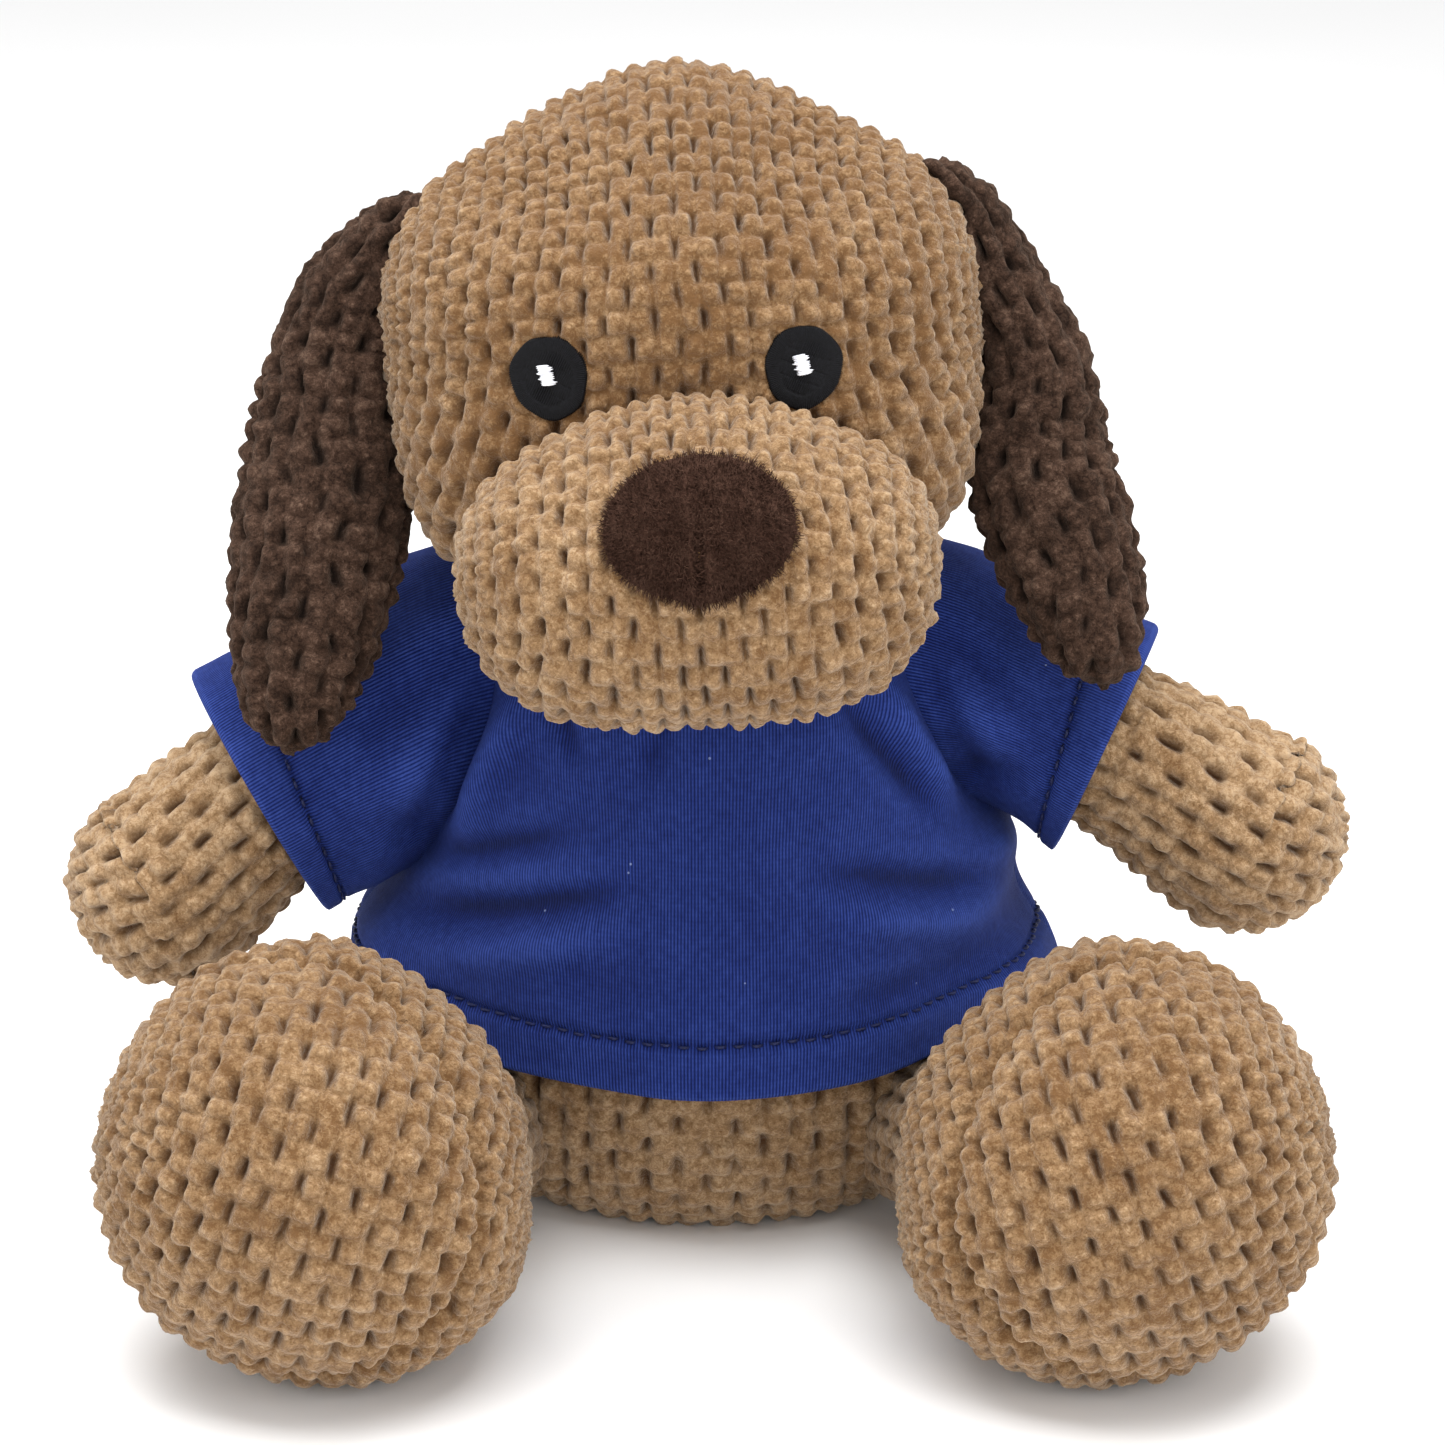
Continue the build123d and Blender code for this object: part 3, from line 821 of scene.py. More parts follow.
# %% [markdown]
# ## Limbs as rings along a line
# Arms, legs, ears and tail are long bags. Each is a row of oval rings along a gently bent line,
# closed and rounded at its ends. The line and the ring sizes pass smoothly through a few chosen
# stations. Distance round the ring and distance along the line place the bobbles.

# %% Rings along a line


def through(stations, count):
    """Smooth values through a few stations, as that many rows (a Catmull-Rom curve)."""
    stations = np.asarray(stations, float)
    padded = np.vstack([2 * stations[0] - stations[1], stations, 2 * stations[-1] - stations[-2]])
    at = np.linspace(0, len(stations) - 1, count)
    i = np.minimum(at.astype(int), len(stations) - 2)
    f = (at - i)[:, None]
    a, b, c, d = padded[i], padded[i + 1], padded[i + 2], padded[i + 3]
    return 0.5 * (2 * b + (c - a) * f + (2 * a - 5 * b + 4 * c - d) * f**2 + (3 * b - a - 3 * c + d) * f**3)


def limb_net(stations, step, front=(0, -1, 0)):
    """Net, faces and cloth distances of a limb. A station is x, y, z, half width, half depth in mm."""
    dense = through(stations, 500) * mm
    dense[:, 3:] = np.maximum(dense[:, 3:], 0.25 * mm)
    walk = np.linalg.norm(np.diff(dense[:, :3], axis=0), axis=1)
    grown = np.concatenate([[0], np.cumsum(np.hypot(walk, np.diff(dense[:, 3])))])
    even = np.linspace(0, grown[-1], int(grown[-1] / step))
    dense = np.stack([np.interp(even, grown, dense[:, i]) for i in range(5)], -1)
    around = int(2 * math.pi * dense[:, 3:].mean(1).max() / step)
    angle = np.linspace(-math.pi, math.pi, around, endpoint=False)
    along = np.gradient(dense[:, :3], axis=0)
    along /= np.linalg.norm(along, axis=1)[:, None]
    across = np.cross(along, front)
    across /= np.linalg.norm(across, axis=1)[:, None]
    facing = np.cross(across, along)
    wide, deep = dense[:, 3, None, None], dense[:, 4, None, None]
    rings = dense[:, None, :3] + across[:, None] * wide * np.sin(angle)[None, :, None]
    rings = rings + facing[:, None] * deep * np.cos(angle)[None, :, None]
    points, faces = closed_tube(rings)
    girth = dense[:, 3:].mean(1)[:, None] * angle[None, :]
    s = np.concatenate([girth.reshape(-1), [0, 0]])
    t = np.concatenate([np.repeat(even, around), [0, even[-1]]])
    return points, faces, s, t


def rounded(start, end, first, last, sag=0.0, arcs=5):
    """Stations of a limb with round ends of two sizes. start and end are the middles of its end balls."""
    start, end = np.array(start, float), np.array(end, float)
    length = np.linalg.norm(end - start)
    along = (end - start) / length
    angles = np.radians(np.linspace(0, 90, arcs + 1)[:-1])
    rows = [[*(start - along * first * math.cos(a)), first * math.sin(a)] for a in angles]
    for share in (0, 0.34, 0.67, 1):
        middle = start + along * length * share
        middle[2] += 1.3 * math.sin(math.pi * share) * bool(sag) - sag * share**2
        rows.append([*middle, first + (last - first) * share])
    end = end - np.array([0, 0, sag])
    rows += [[*(end + along * last * math.cos(a)), last * math.sin(a)] for a in angles[::-1]]
    return [[*row, row[-1]] for row in rows]


def joint_point(name):
    """Where a joint of the frame is, in mm."""
    return np.array(joints[name]["pos_m"]) / mm


# %% [markdown]
# ## Ears
# An ear is a long flat sock of dark plush, narrow where it is sewn to the side of the head and
# wide near its end. It hangs against the head and its tip rests on the sleeve. Its bobbles are
# more tangled than the tan ones, so they are bent further out of their rows.

# %% Ears
ear_line = {
    "left": [(36.5, -3, 181.5, 0.5, 0.5), (38.5, -4, 180, 3.2, 4.2), (43.5, -4, 174.5, 5.0, 6.5),
             (49.5, -5, 162.5, 7.0, 7.6), (55.0, -9, 148, 9.4, 8.4), (55.6, -14, 134, 12.0, 8.6),
             (59.6, -20, 121, 12.0, 8.4), (63.6, -26, 110, 9.8, 7.6), (65.6, -28.5, 103, 6.4, 5.4),
             (66.2, -29.5, 99.2, 0.5, 0.5)],
    "right": [(-46.5, -3, 176.0, 0.5, 0.5), (-48.3, -4, 174.5, 3.4, 4.2), (-52.4, -4, 169, 6.4, 6.4),
              (-58.8, -4, 158.5, 9.8, 7.6), (-61.4, -7, 144.5, 13.0, 8.6), (-63.2, -14, 128, 14.6, 9.0),
              (-66.0, -22, 112, 13.4, 8.8), (-68.0, -28.5, 98, 9.8, 7.6), (-68.2, -31.5, 91.5, 5.6, 5.0),
              (-68.2, -32.5, 88.6, 0.5, 0.5)],
}
for number, side in enumerate(sides):
    net = limb_net(ear_line[side], 0.62 * mm)
    ear = plush(f"{side}_ear", net, 51 + 20 * number, None, [f"{side}_ear_shell"], 0.5,
                (ear_plush, "ear_plush"), tangle=1.0, light=-0.1)
    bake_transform(ear)
    thin = [(x, y, z, max(w - 3.6, 0.3), max(d - 3.6, 0.3)) for x, y, z, w, d in ear_line[side][2:-2]]
    points, faces, _, _ = limb_net(thin, 1.8 * mm)
    stuffing(f"{side}_ear_fibre", points, faces, [f"{side}_ear_filling"], f"{side}_ear", 0.4)

# %% [markdown]
# ## Arms
# Each arm is a stuffed bag that hangs a little below level and points slightly forward, the two
# not quite alike. It swells towards the paw. Its shoulder end is hidden in the sleeve, and the
# paw sags a little under its own weight.

# %% Arms
arm_droop = {"left": 24.0, "right": 31.0}
arm_length = {"left": 53.0, "right": 56.0}
paw_sag = {"left": 2.6, "right": 5.0}
arm_ahead = math.radians(11.0)


def arm_way(side):
    """The way that an arm points from its shoulder."""
    droop = math.radians(arm_droop[side])
    level = math.cos(droop)
    outward = sides[side] * level * math.cos(arm_ahead)
    return np.array([outward, -level * math.sin(arm_ahead), -math.sin(droop)])


for number, side in enumerate(sides):
    shoulder = joint_point(f"{side}_arm_swing")
    paw = shoulder + arm_way(side) * arm_length[side]
    stations = rounded(shoulder, paw, 11.0, 17.4, paw_sag[side])
    net = limb_net(stations, 0.66 * mm)
    # The arms' yarn gets painted light: light makes it paler.
    plush(f"{side}_arm", net, 91 + 20 * number, f"{side}_arm", [f"{side}_arm_shell"], 0.85,
          tangle=0.5, light=0.55)
    points, faces, _, _ = limb_net(stations, 2.0 * mm)
    stuffing(f"{side}_arm_fibre", points, faces, [f"{side}_arm_filling"], f"{side}_arm")

# %% [markdown]
# ## Feet and legs
# A leg is a short thick tube that swells into a big round foot, closed by a separate round panel
# for the sole. The panel's seam shows as a soft line round the foot, and is strongest across its
# inner top. The floor presses the underside flat.

# %% Feet and legs
foot_radius = 35.0 * mm
foot_seam = 11 * mm  # ahead of the middle of the foot
foot_ball, foot_faces = quad_ball(88)


def kept_part(points, faces, keep):
    """The faces of a net that are kept, and which of its points they use."""
    used, faces = np.unique(faces[keep], return_inverse=True)
    return points[used], faces.reshape(-1, 4), used


for number, (side, sign) in enumerate(sides.items()):
    boxes = [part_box(f"{side}_{name}") for name in ("foot_sole", "leg_shell")]
    low = np.minimum(*(np.array(box[0]) for box in boxes))
    high = np.maximum(*(np.array(box[1]) for box in boxes))
    outer = high[0] if sign > 0 else low[0]
    middle = np.array([outer - sign * foot_radius, low[1] + foot_radius, 35.0 * mm])
    half = (foot_radius * 1.03, foot_radius, foot_radius, foot_radius)
    foot = Form(middle, half, (2.1, 2.1, 2.1), sign * 18, 6)
    hip = joint_point(f"{side}_leg_splay")
    reach = middle / mm - hip
    toward = reach / np.linalg.norm(reach)
    points = foot.surface(foot_ball)
    local = foot.local(points)
    inner_top = smooth((-sign * local[:, 0] / foot_radius + local[:, 2] / foot_radius - 0.7) / 0.7)
    points = middle + (points - middle) * (1 - 0.10 * inner_top)[:, None]
    ahead = (points - middle) @ toward
    seam = ridge(ahead - foot_seam, 1.5 * mm)
    points = middle + (points - middle) * (1 - 0.085 * seam)[:, None]
    s, t = foot.cloth(foot_ball)
    whole = make_object(f"{side}_foot", points, foot_faces)
    # The feet's yarn gets painted shade: light below zero makes it darker.
    knobbles(whole, s, t, seed=131 + 20 * number, soft=0.5 * seam, light=-0.2)
    press_flat(whole)
    points = points_of(whole)
    kept_values = {value: values_of(whole, value) for value in ("deep", "tone_and_painted_light")}
    bpy.data.objects.remove(whole)
    face_ahead = ahead[foot_faces].mean(1) > foot_seam
    for name, keep, node_name in (("sole", face_ahead, "foot_sole"), ("heel", ~face_ahead, "leg_shell")):
        part, part_faces, used = kept_part(points, foot_faces, keep)
        piece = make_object(f"{side}_{name}", part, part_faces)
        for value, numbers in kept_values.items():
            keep_value(piece, value, numbers[used])
        finish_piece(piece, tan_plush, f"{side}_leg", [f"{side}_{node_name}"])
    stations = rounded(hip, hip + reach * 0.5, 13.5, 17.5)
    leg = plush(f"{side}_leg", limb_net(stations, 0.72 * mm), 171 + 20 * number, None, (), 0.85, soft=0.25)
    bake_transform(leg)
    points = foot.surface(small_ball)
    stuffing(f"{side}_leg_fibre", points, small_faces, [f"{side}_leg_filling"], f"{side}_leg", 9.0)

# %% [markdown]
# ## Body
# The body is a pear-shaped bag, widest just above the seat. Most of it is under the shirt. Its
# bottom is a separate flat panel, and inside it lie the fibre and a small cloth bag of plastic
# pellets that weighs the seat down.

# %% Body and seat
body_y = 5 * mm
body_stations = [(0.3, 33, 27), (1.2, 37, 31), (9, 46.5, 37.5), (28, 51, 42), (50, 48, 40), (70, 41, 35),
                 (88, 32, 28), (103, 23, 21), (104.5, 5, 5)]


def body_net(step, inset=0.0):
    """Net, faces and cloth distances of the body bag."""
    dense = through(body_stations, 700) * mm
    grown = np.concatenate([[0], np.cumsum(np.hypot(np.diff(dense[:, 0]), np.diff(dense[:, 1])))])
    even = np.arange(0, grown[-1], step)
    z, wide, deep = (np.interp(even, grown, dense[:, i]) for i in range(3))
    around = int(0.30 / step)
    angle = np.linspace(-math.pi, math.pi, around, endpoint=False)
    x = (wide - inset)[:, None] * np.sin(angle)
    y = body_y - (deep - inset)[:, None] * np.cos(angle)
    points, faces = closed_tube(np.stack([x, y, np.repeat(z[:, None], around, 1)], -1))
    girth = (angle[None] * ((wide + deep) / 2)[:, None]).reshape(-1)
    climb = np.repeat(even, around)
    return points, faces, np.concatenate([girth, [0, 0]]), np.concatenate([climb, [0, even[-1]]])


# The body's yarn gets painted light: light makes it paler.
plush("body", body_net(0.72 * mm), 201, "torso", ["body_shell"], 0.8, light=0.4)
points, faces, _, _ = body_net(2.4 * mm, 1.0 * mm)
points[:, 2] = np.maximum(points[:, 2], 4 * mm)
stuffing("body_fibre", points, faces, ["body_filling"], "torso")

seat_half = box_half("seat_panel")
out, turn = round_grid(44, 300)
x = out * (seat_half[0] - 0.6 * mm) * np.cos(turn)
y = body_y + out * (seat_half[1] - 0.6 * mm) * np.sin(turn)
top = np.stack([x, y, 0 * x + (1.9 - 0.5 * out**8) * mm], -1)
bottom = np.stack([x, y, 0 * x + (0.75 + 0.5 * out**8) * mm], -1)[::-1]
points, faces = closed_tube(np.concatenate([top, bottom]))
plush("seat", (points, faces, points[:, 0], points[:, 1]), 221, "torso", ["seat_panel"], 0.3, soft=0.55)

# %% [markdown]
# ## Pellet bag
# The pellets are small smooth plastic beads, poured into a plain woven bag. The bag's bulges come
# from the beads behind it, and the beads are scattered by a fixed random order.

# %% Pellet bag
pouch_cloth, _ = speckled("pouch_cloth", (0.9, 0.2), (1800.0,), shade(196, 192, 182), shade(226, 223, 214),
                          ((2400.0,), 0.2 * mm, 1.0))
pellet, _ = speckled("pellet_plastic", (0.35, 0.5), (400.0,), shade(206, 208, 210), shade(232, 233, 234),
                     ((900.0,), 0.05 * mm, 1.0))

pouch_middle = box_middle("pellet_pouch")
pouch_half = box_half("pellet_pouch") - 0.4 * mm
pouch = Form(pouch_middle, (*pouch_half, pouch_half[2]), (3.0, 3.0, 3.0))
points = pouch.surface(small_ball)
pouch_piece = make_object("pellet_bag", points, small_faces)
set_points(pouch_piece, points + normals_of(pouch_piece) * (cloud(points, 4 * mm, 5) * 0.3 * mm)[:, None])
finish_piece(pouch_piece, pouch_cloth, "torso", ["pellet_pouch"])
random = np.random.default_rng(7)
tiny_ball, tiny_faces = quad_ball(4)
inner = box_half("weight_pellets") - 1.8 * mm
beads = random.uniform(-1, 1, (900, 3))
beads = beads[(np.abs(beads) ** 3).sum(1) < 1] * inner + pouch_middle
kept = []
for bead in beads:
    if all(np.linalg.norm(bead - other) > 2.7 * mm for other in kept):
        kept.append(bead)
points = np.concatenate([bead + tiny_ball * 1.3 * mm for bead in kept])
faces = np.concatenate([tiny_faces + i * len(tiny_ball) for i in range(len(kept))])
pellets = make_object("pellets", points, faces)
finish_piece(pellets, pellet, "torso", ["weight_pellets"])
print("pellets:", len(kept))

# %% [markdown]
# ## Neck and tail
# The neck is a short plush tube between the collar and the head, and the tail a short stuffed
# stub, sewn low on the back.

# %% Neck and tail
neck_low, neck_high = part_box("neck_skin")
neck_middle = box_middle("neck_skin")
neck_half = box_half("neck_skin")
heights = np.linspace(neck_low.z + 0.5 * mm, neck_high.z - 0.5 * mm, 26)
angle = np.linspace(-math.pi, math.pi, 130, endpoint=False)
waist = 1 - 0.06 * np.cos((heights - neck_middle[2]) / neck_half[2] * math.pi / 2)
rings = np.stack([neck_middle[0] + (neck_half[0] + 1.4 * mm) * waist[:, None] * np.sin(angle),
                  neck_middle[1] - (neck_half[1] + 1.0 * mm) * waist[:, None] * np.cos(angle),
                  np.repeat(heights[:, None], 130, 1)], -1)
points, faces = closed_tube(rings)
girth = np.concatenate([np.tile(angle * neck_half[0], 26), [0, 0]])
plush("neck", (points, faces, girth, points[:, 2]), 231, "neck", ["neck_skin"], 0.8, soft=0.3)
stuffing("neck_fibre", points, faces, ["neck_filling"], "neck", 2.6)

tail_root = joint_point("tail_wag")
tail_rise = math.radians(16)
tail_tip = tail_root + 18 * np.array([0, math.cos(tail_rise), math.sin(tail_rise)])
stations = rounded(tail_root, tail_tip, 5.8, 6.4)
upward = (0, 0, 1)
plush("tail", limb_net(stations, 0.62 * mm, upward), 241, "tail", ["tail_shell"], 0.8)
points, faces, _, _ = limb_net(stations, 1.6 * mm, upward)
stuffing("tail_fibre", points, faces, ["tail_filling"], "tail", 2.8)

# %% [markdown]
# ## Jersey knit
# The shirt is cotton jersey: fine upright ribs of stitches half a millimetre apart, each made of
# little V shapes. At this size the ribs are too fine to model as geometry, so each point of the
# cloth keeps how far it lies across and along the knit, and the material turns those into ridges.
# A few pale specks of lint sit on it, as on any dark jersey.

# %% Jersey material
rib = 0.51 * mm
course = 0.70 * mm


def jersey(name, deep_blue, blue, light_blue):
    """Ribbed jersey in three blues, with painted shade in its fold hollows and specks of lint."""
    material, shader, node = new_material(name, 0.85, 0.2)
    wale = maths(node, "DIVIDE", node("Attribute", attribute_name="wale").outputs["Fac"], rib)
    row = maths(node, "DIVIDE", node("Attribute", attribute_name="course").outputs["Fac"], course)
    fold = maths(node, "PINGPONG", wale, 0.5)
    ridge_height = maths(node, "SINE", maths(node, "MULTIPLY", fold, math.pi))
    slant = maths(node, "MULTIPLY_ADD", fold, 0.9, row)
    loops = maths(node, "SINE", maths(node, "MULTIPLY", slant, 2 * math.pi))
    height = maths(node, "MULTIPLY_ADD", loops, 0.05, ridge_height)
    uneven = noise(node, 700.0, 3.0)
    worn = noise(node, 60.0, 2.0)
    painted_fold_shade = node("Attribute", attribute_name="painted_fold_shade").outputs["Fac"]
    mixed = maths(node, "MULTIPLY_ADD", uneven, 0.30, maths(node, "MULTIPLY", height, 0.34))
    mixed = maths(node, "MULTIPLY_ADD", worn, 0.14, mixed)
    # Painted shade in the hollows of the folds and painted light on their rises.
    mixed = maths(node, "SUBTRACT", maths(node, "ADD", mixed, 0.22), maths(node, "MULTIPLY", painted_fold_shade, 0.44))
    cloth = ramp(node, mixed, [(0.22, deep_blue), (0.47, blue), (0.70, light_blue)])
    # The deepest hollows get more painted shade, a near-black blue.
    deepest = maths(node, "MAXIMUM", maths(node, "SUBTRACT", painted_fold_shade, 0.62), 0.0)
    shadow = maths(node, "MULTIPLY", deepest, 1.8)
    cloth = blended(node, shadow, cloth, shade(4, 9, 38))
    place = node("TexCoord").outputs["Object"]
    specks = node("TexVoronoi", {"Vector": place, "Scale": 190.0, "Randomness": 1.0}).outputs["Distance"]
    small = maths(node, "LESS_THAN", specks, 0.045)
    rare = maths(node, "GREATER_THAN", noise(node, 95.0, 0.0), 0.56)
    lint = maths(node, "MULTIPLY", small, rare)
    set_colour(shader, blended(node, maths(node, "MULTIPLY", lint, 0.6), cloth, shade(150, 165, 205)))
    add_bump(shader, node, height, 0.22 * mm, 0.9)
    set_sheen(shader, 0.12, shade(90, 115, 190), 0.4)
    return material


blue_jersey = jersey("blue_jersey", shade(8, 19, 70), shade(24, 43, 111), shade(50, 72, 148))

# %% [markdown]
# ## Shirt body
# The shirt is a bell of cloth that stands off the body, drawn in towards the neck. Rather than
# simulating it, its shape is described directly: the hem dips at the front and lies on the
# thighs at the sides, soft creases run from each armpit across the chest, and the turned-up hem is
# a slightly fuller band below its stitching. A front and a back panel meet at the side seams.

# %% Shirt form
collar_z = 114.0
shirt_drop = collar_z - 33.0  # from the collar to the lowest part of the hem
shirt_length = 80
shirt_y = body_y / mm
shirt_stations = [(60.5, 50.5), (58.5, 48.5), (54.0, 45.5), (50.0, 42.0), (46.5, 38.5), (42.5, 35.0),
                  (35.5, 29.5), (20.8, 18.6)]
body_table = np.array(body_stations)[1:-1]
hem_band = 8.9

armpit_folds = (  # start and end x, z, width, depth: a negative depth is a fold that stands up
    ((-38, 98), (-51, 62), 3.2, 5.5), ((-30, 96), (-42, 68), 2.6, -2.8), ((-58, 53), (-8, 67), 2.8, 2.6),
    ((-54, 62), (-20, 75), 2.4, 2.0), ((-50, 49), (-12, 59), 3.6, -1.9), ((35, 106), (50, 68), 3.0, 5.0),
    ((29, 98), (42, 74), 2.2, -2.6), ((22, 96), (40, 73), 2.2, 2.6), ((57, 58), (16, 69), 2.8, 2.2),
    ((50, 54), (24, 60), 3.0, -1.8), ((58, 49), (20, 46), 3.0, 1.6), ((-30, 104), (-22, 86), 2.2, 2.0),
    ((-4, 100), (-10, 84), 2.6, 1.4),
)


def crease(x, z, start, end, width):
    """A soft line on the front from start to end, both (x, z) in mm."""
    start, end = np.array(start, float), np.array(end, float)
    way = end - start
    length = np.hypot(*way)
    way /= length
    along = (x - start[0]) * way[0] + (z - start[1]) * way[1]
    off = (x - start[0]) * way[1] - (z - start[1]) * way[0]
    inside = smooth((along + 4) / (0.5 * length)) * smooth((length - along + 4) / (0.5 * length))
    return ridge(off, width) * inside


def shirt_point(turn, height, lift=0.0):
    """Points of the shirt in mm. turn is 0 at the front, height is mm of cloth above the hem."""
    turn, height, lift = np.broadcast_arrays(turn, height, lift)
    turn = np.mod(turn + math.pi, 2 * math.pi) - math.pi
    ahead = np.maximum(np.cos(turn), 0)
    hem_z = 38.0 - 6.3 * ahead**2.2 - 2.0 * np.maximum(-np.cos(turn), 0)
    share = height / shirt_drop
    z = hem_z + (collar_z - hem_z) * share
    at = np.clip(share, 0, 1) * (len(shirt_stations) - 1)
    table = np.array(through(shirt_stations, 200))
    wide = np.interp(at, np.linspace(0, len(shirt_stations) - 1, 200), table[:, 0])
    deep = np.interp(at, np.linspace(0, len(shirt_stations) - 1, 200), table[:, 1])
    x, y = np.sin(turn), -np.cos(turn)
    front_x = wide * x
    low = 1 - smooth(share / 0.45)
    folds = 0.9 * np.sin(5 * turn + 0.6) * low + 0.5 * np.sin(11 * turn + 2.0) * low
    left_side = ridge(turn - 1.35, 0.4)
    right_side = ridge(turn + 1.4, 0.45)
    left_folds = 1.7 * ridge(height, 6) - 3.4 * ridge(height - 15, 6) + 2.2 * ridge(height - 27, 6)
    folds += left_side * left_folds
    folds += right_side * (3.2 * ridge(height - 9, 7) - 1.6 * ridge(height - 24, 6))
    in_front = smooth(np.cos(turn) * 4)
    for start, end, width, depth in armpit_folds:
        folds -= depth * crease(front_x, z, start, end, width) * in_front
    places = np.stack([front_x, deep * y, z], -1)
    folds += 0.7 * cloud(places, 19.0, 301) + 0.25 * cloud(places, 7.0, 302)
    band = smooth((hem_band - height) / 0.8) * smooth((height + 0.5) / 1.6)
    side_seam = ridge(np.abs(turn) - math.pi / 2, 0.025)
    folds += 0.45 * band - 0.65 * ridge(height - hem_band, 0.8) - 0.9 * side_seam
    body_wide = np.interp(z, body_table[:, 0], body_table[:, 1])
    spare = np.minimum(wide - body_wide, deep - body_wide + 7.5) - 3.0
    folds = np.where(folds < 0, -spare * np.tanh(-folds / spare), folds)
    lifted = folds + lift
    return np.stack([(wide + lifted) * x, shirt_y + (deep + lifted) * y, z], -1)


# %% [markdown]
# A panel of cloth has two faces and a rounded edge at its hem. So each panel is one grid that runs
# down the inside, turns round the hem and climbs the outside.

# %% Cloth panels
cloth_step = 0.75
cloth_thickness = 0.8
hem_thickness = 1.5
# crease_reach and hollow_shade set the painted shade of the folds: how far a fold is compared, and how
# strongly its depth turns into painted shade.
crease_reach = 6  # steps of cloth that a fold is compared with
hollow_shade = 0.34


def down_and_up(length, band):
    """Heights above the hem and lifts off the outer face for the rows of a panel with a turned hem."""
    heights = np.arange(0.9, length, cloth_step)
    inside = -cloth_thickness - (hem_thickness - cloth_thickness) * smooth((band - heights) / 1.0)
    around = np.radians(np.linspace(180, 0, 7))
    edge_height = 0.8 * (1 - np.sin(around))
    edge_lift = -hem_thickness / 2 + hem_thickness / 2 * np.cos(around)
    return (np.concatenate([heights[::-1], edge_height, heights]),
            np.concatenate([inside[::-1], edge_lift, heights * 0]))


def sealed_faces(rows, columns):
    """Faces of a grid that doubles back on itself, with its two layers closed together all round."""
    r = np.arange(rows // 2)
    c = np.arange(columns - 1)
    last = columns - 1
    back = rows - 1 - r
    start = np.stack([r, r + 1, back - 1, back], -1) * columns
    top = np.stack([c + 1, c, (rows - 1) * columns + c, (rows - 1) * columns + c + 1], -1)
    return np.concatenate([grid_faces(rows, columns), start[:-1], start[:-1, [1, 0, 3, 2]] + last, top])


def blurred(grid, reach):
    """A grid of points averaged with its neighbours, reach steps each way."""
    for axis in (0, 1):
        margin = [(0, 0), (0, 0), (0, 0)]
        margin[axis] = (reach, reach)
        wider = np.pad(grid, margin, mode="edge")
        count = grid.shape[axis]
        shifts = range(2 * reach + 1)
        grid = sum(np.take(wider, range(i, i + count), axis) for i in shifts) / len(shifts)
    return grid


def cloth_panel(name, place, turns, length, girth, band, replaces):
    """A double-faced panel from a function that places cloth in mm by turn, height and lift."""
    heights, lifts = down_and_up(length, band)
    turn, height = np.meshgrid(turns, heights)
    points = place(turn, height, lifts[:, None])
    rows, columns = turn.shape
    piece = make_object(name, points.reshape(-1, 3) * mm, sealed_faces(rows, columns))
    keep_value(piece, "wale", (turn * girth(height) * mm).reshape(-1))
    keep_value(piece, "course", (height * mm).reshape(-1))
    # The outer face keeps how far each point lies below its neighbours, for the painted shade of the folds;
    # the inner face stays neutral.
    outer = slice(rows // 2, rows)
    facing = normals_of(piece).reshape(rows, columns, 3)[outer]
    depth = ((blurred(points[outer], crease_reach) - points[outer]) * facing).sum(-1)
    painted_fold_shade = np.full((rows, columns), 0.5)
    painted_fold_shade[outer] = np.clip(0.5 + hollow_shade * depth, 0, 1)
    keep_value(piece, "painted_fold_shade", painted_fold_shade.reshape(-1))
    return finish_piece(piece, blue_jersey, None, replaces)


def shirt_girth(height):
    """The shirt's mean radius in mm at a height above its hem."""
    return np.interp(height, [0, 40, 80], [55, 44, 27])


panels = {"front": (-math.pi / 2, math.pi / 2), "back": (math.pi / 2, 1.5 * math.pi)}
for name, (first, last) in panels.items():
    turns = np.linspace(first, last, 240)
    panel = cloth_panel(f"shirt_{name}_panel", shirt_point, turns, shirt_length, shirt_girth, hem_band,
                        [f"shirt_{name}"])
    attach(panel, "torso")

# %% [markdown]
# ## Collar
# A narrow ribbed band closes the neck of the shirt, mostly hidden under the chin.

# %% Collar
turn = np.linspace(-math.pi, math.pi, 420, endpoint=False)
across = np.radians(np.linspace(0, 360, 22, endpoint=False))
ribs = 0.16 * np.sin(110 * turn)[None, :]
ring_lift = (1.1 + ribs) * np.cos(across)[:, None]
ring_rise = 2.6 * np.sin(across)[:, None]
wide = 20.4 - 0.35 * ring_rise + ring_lift
deep = 18.2 - 0.35 * ring_rise + ring_lift
x = wide * np.sin(turn)
y = shirt_y - deep * np.cos(turn)
rings = np.stack([x, y, collar_z + ring_rise + 0 * turn], -1) * mm
rows, columns = rings.shape[:2]
last_strip = grid_faces(2, columns, True)[:, ::-1]
last_strip = last_strip % columns + np.where(last_strip >= columns, 0, (rows - 1) * columns)
faces = np.concatenate([grid_faces(rows, columns, True), last_strip])
collar = make_object("collar", rings.reshape(-1, 3), faces)
keep_value(collar, "wale", np.tile(turn * 26 * mm, rows))
keep_value(collar, "course", np.repeat(across * 1.5 * mm, columns))
# The collar gets no painted fold shade.
keep_value(collar, "painted_fold_shade", np.full(rows * columns, 0.5))
finish_piece(collar, blue_jersey, "torso", ["shirt_collar"])

# %% [markdown]
# ## Sleeves
# Each short sleeve is a wide tube from the armhole to a straight hem near the paw, roomy above the
# arm and slack below it. Its rings are set by a top point and a bottom point.

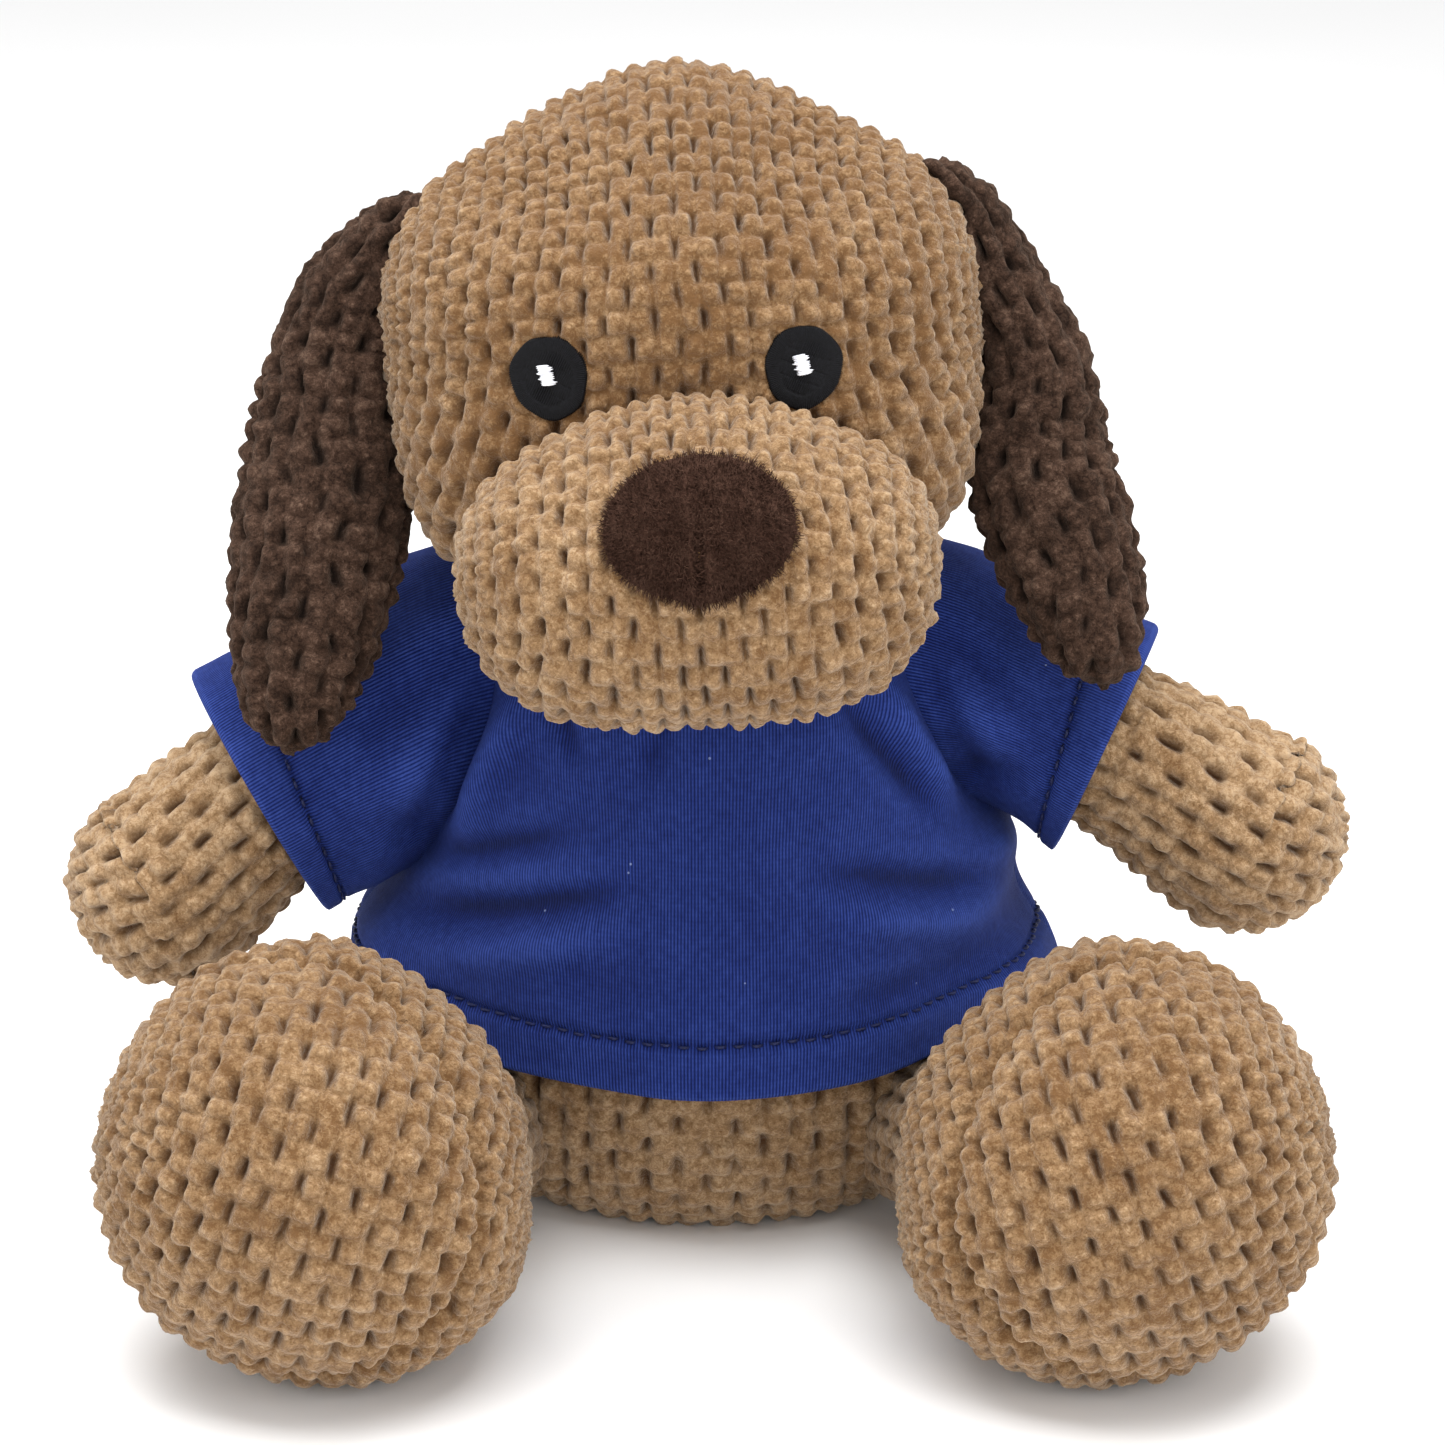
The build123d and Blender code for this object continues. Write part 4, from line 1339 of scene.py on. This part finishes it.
# %% Sleeve forms
sleeve_rings = {  # top x, y, z, bottom x, y, z, half depth
    "left": [(24, 6, 114, 34, 6, 70, 14), (34, 6, 115, 42, 5, 69, 17.0), (45, 6, 112.5, 50, 2, 68, 19.3),
             (56, 3, 107.5, 54.5, -1, 67.0, 18.6), (66, 0, 103.5, 57.5, -2.5, 65.2, 17.8),
             (77, -4, 100.0, 60.8, -4, 62.8, 17.8)],
    "right": [(-24, 6, 116, -36, 6, 60, 14), (-35, 6, 116, -46, 5, 58, 17),
              (-48, 6, 112.5, -53, 1, 57, 20.5), (-62, 3, 106, -57.5, -2, 55.5, 20),
              (-75, -1, 99, -61.5, -3, 54.2, 19.2), (-87.5, -5, 92.0, -66.0, -5, 52.6, 19.0)],
}
armhole_fold = {"left": ((36, 102), (49, 70)), "right": ((-38, 94), (-51, 64))}
sleeve_band = 7.0
sleeve_length = {"left": 44.0, "right": 52.0}


def sleeve_maker(side, seed):
    """A function that places sleeve cloth in mm. turn is 0 at the top, positive to the front."""
    table = through(sleeve_rings[side], 200)
    shares = np.linspace(0, 1, 200)

    def place(turn, height, lift=0.0):
        turn, height, lift = np.broadcast_arrays(turn, height, lift)
        share = 1 - height / sleeve_length[side]
        ring = np.stack([np.interp(share, shares, table[:, i]) for i in range(7)], -1)
        top, bottom, deep = ring[..., :3], ring[..., 3:6], ring[..., 6]
        middle = (top + bottom) / 2
        up = (top - bottom) / 2
        tall = np.linalg.norm(up, axis=-1)
        forward = np.array([-0.19 * sides[side], -0.98, 0])
        spot = middle + up * np.cos(turn)[..., None] + forward * (deep * np.sin(turn))[..., None]
        folds = 0.9 * cloud(spot, 15.0, seed) + 0.3 * cloud(spot, 6.0, seed + 1)
        slack = ridge(share - 0.42, 0.22)
        folds -= 1.9 * slack * ridge(turn - 1.15 - 0.9 * (share - 0.4), 0.26)
        folds -= 1.5 * slack * ridge(turn - 2.2 + 1.1 * (share - 0.4), 0.22)
        folds -= 1.2 * slack * ridge(turn + 1.6, 0.3)
        folds += 0.9 * slack * ridge(turn - 1.7, 0.2)
        folds += 0.4 * smooth((sleeve_band - height) / 0.8) * smooth((height + 0.5) / 1.6)
        folds -= 0.6 * ridge(height - sleeve_band, 0.8) + 0.8 * ridge(np.abs(turn) - math.pi, 0.03)
        start, end = armhole_fold[side]
        folds -= 1.6 * crease(spot[..., 0], spot[..., 2], start, end, 3.0) * smooth(np.sin(turn) * 3)
        outward = up / tall[..., None] * np.cos(turn)[..., None] + forward * np.sin(turn)[..., None]
        return spot + outward * (folds + lift)[..., None]

    return place


# %% Sleeves
sleeve_place = {}
for number, side in enumerate(sides):
    sleeve_place[side] = sleeve_maker(side, 321 + 20 * number)
    turns = np.linspace(-math.pi, math.pi, 200)
    sleeve = cloth_panel(f"{side}_shirt_sleeve", sleeve_place[side], turns, sleeve_length[side],
                         lambda height: 20.0 + 0 * height, sleeve_band, [f"{side}_sleeve"])
    shoulder = joint_point(f"{side}_arm_swing")
    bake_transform(sleeve)

# %% [markdown]
# ## Top-stitching
# The hems are sewn with navy thread, in stitches just under three millimetres apart that sink a
# little into the cloth at both ends.

# %% Stitches
stitch_step = 2.8


def stitches(name, place, height, first, last, radius, stands_for):
    """A line of stitches along a hem, between two turns. radius is the hem's mean one in mm."""
    count = int((last - first) * radius / stitch_step)
    starts = np.linspace(first, last, count, endpoint=False)[:, None]
    steps = np.linspace(0, 1, 7)[None, :]
    turn = starts + steps * (1.95 / radius)
    wander = 0.12 * np.sin(starts * 37)
    lift = 0.62 - 0.95 * (2 * steps - 1) ** 4
    paths = place(turn, height + wander + 0 * turn, lift) * mm
    piece = make_object(name, *rods(paths, 0.58 * mm))
    return finish_piece(piece, navy_thread, None, stands_for)


hem_line = stitches("hem_stitches", shirt_point, hem_band, -math.pi, math.pi, 54.0, ["hem_thread"])
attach(hem_line, "torso")
for side in sides:
    sleeve_line = stitches(f"{side}_sleeve_stitches", sleeve_place[side], sleeve_band, -3.1, 3.1, 19.0,
                           [f"{side}_sleeve_thread"])
    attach(sleeve_line, f"{side}_arm")

# %% [markdown]
# ## Care label
# A blank folded ribbon is sewn into the seam at the back. It is left plain.

# %% Care label
ribbon, shader = speckled("white_ribbon", (0.5, 0.3), (1500.0,), shade(222, 222, 220), shade(244, 244, 242),
                          ((3000.0, 1.0), 0.08 * mm, 1.0))
set_sheen(shader, 0.1, shade(250, 250, 250))
label_low, label_high = (np.array(v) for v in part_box("care_label"))
label_low[1] -= 8 * mm  # the ribbon runs on through the plush into the seam
across = np.linspace(label_low[0], label_high[0], 26)
along = np.linspace(0, 1, 40)
there_and_back = np.concatenate([along, along[::-1]])
reach = there_and_back * (label_high[1] - label_low[1] - 0.6 * mm) + label_low[1]
side_of_fold = np.concatenate([along * 0 + 0.5, along * 0 - 0.5])
wave = 0.35 * mm * np.sin(there_and_back * 5)
level = (label_low[2] + label_high[2]) / 2 + side_of_fold * 0.42 * mm + wave
points = np.stack([np.repeat(across[None], 80, 0), np.repeat(reach[:, None], 26, 1),
                   level[:, None] + 0.2 * mm * np.cos((across - across.mean()) / (5 * mm))[None]], -1)
label = make_object("label", points.reshape(-1, 3), grid_faces(80, 26))
finish_piece(label, ribbon, "torso", ["care_label"])

# %% [markdown]
# ## Size
# The finished toy is measured, and its size is printed.

# %% Finish
low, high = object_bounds()
print("size with cloth, mm:", [round(v / mm, 1) for v in high - low])
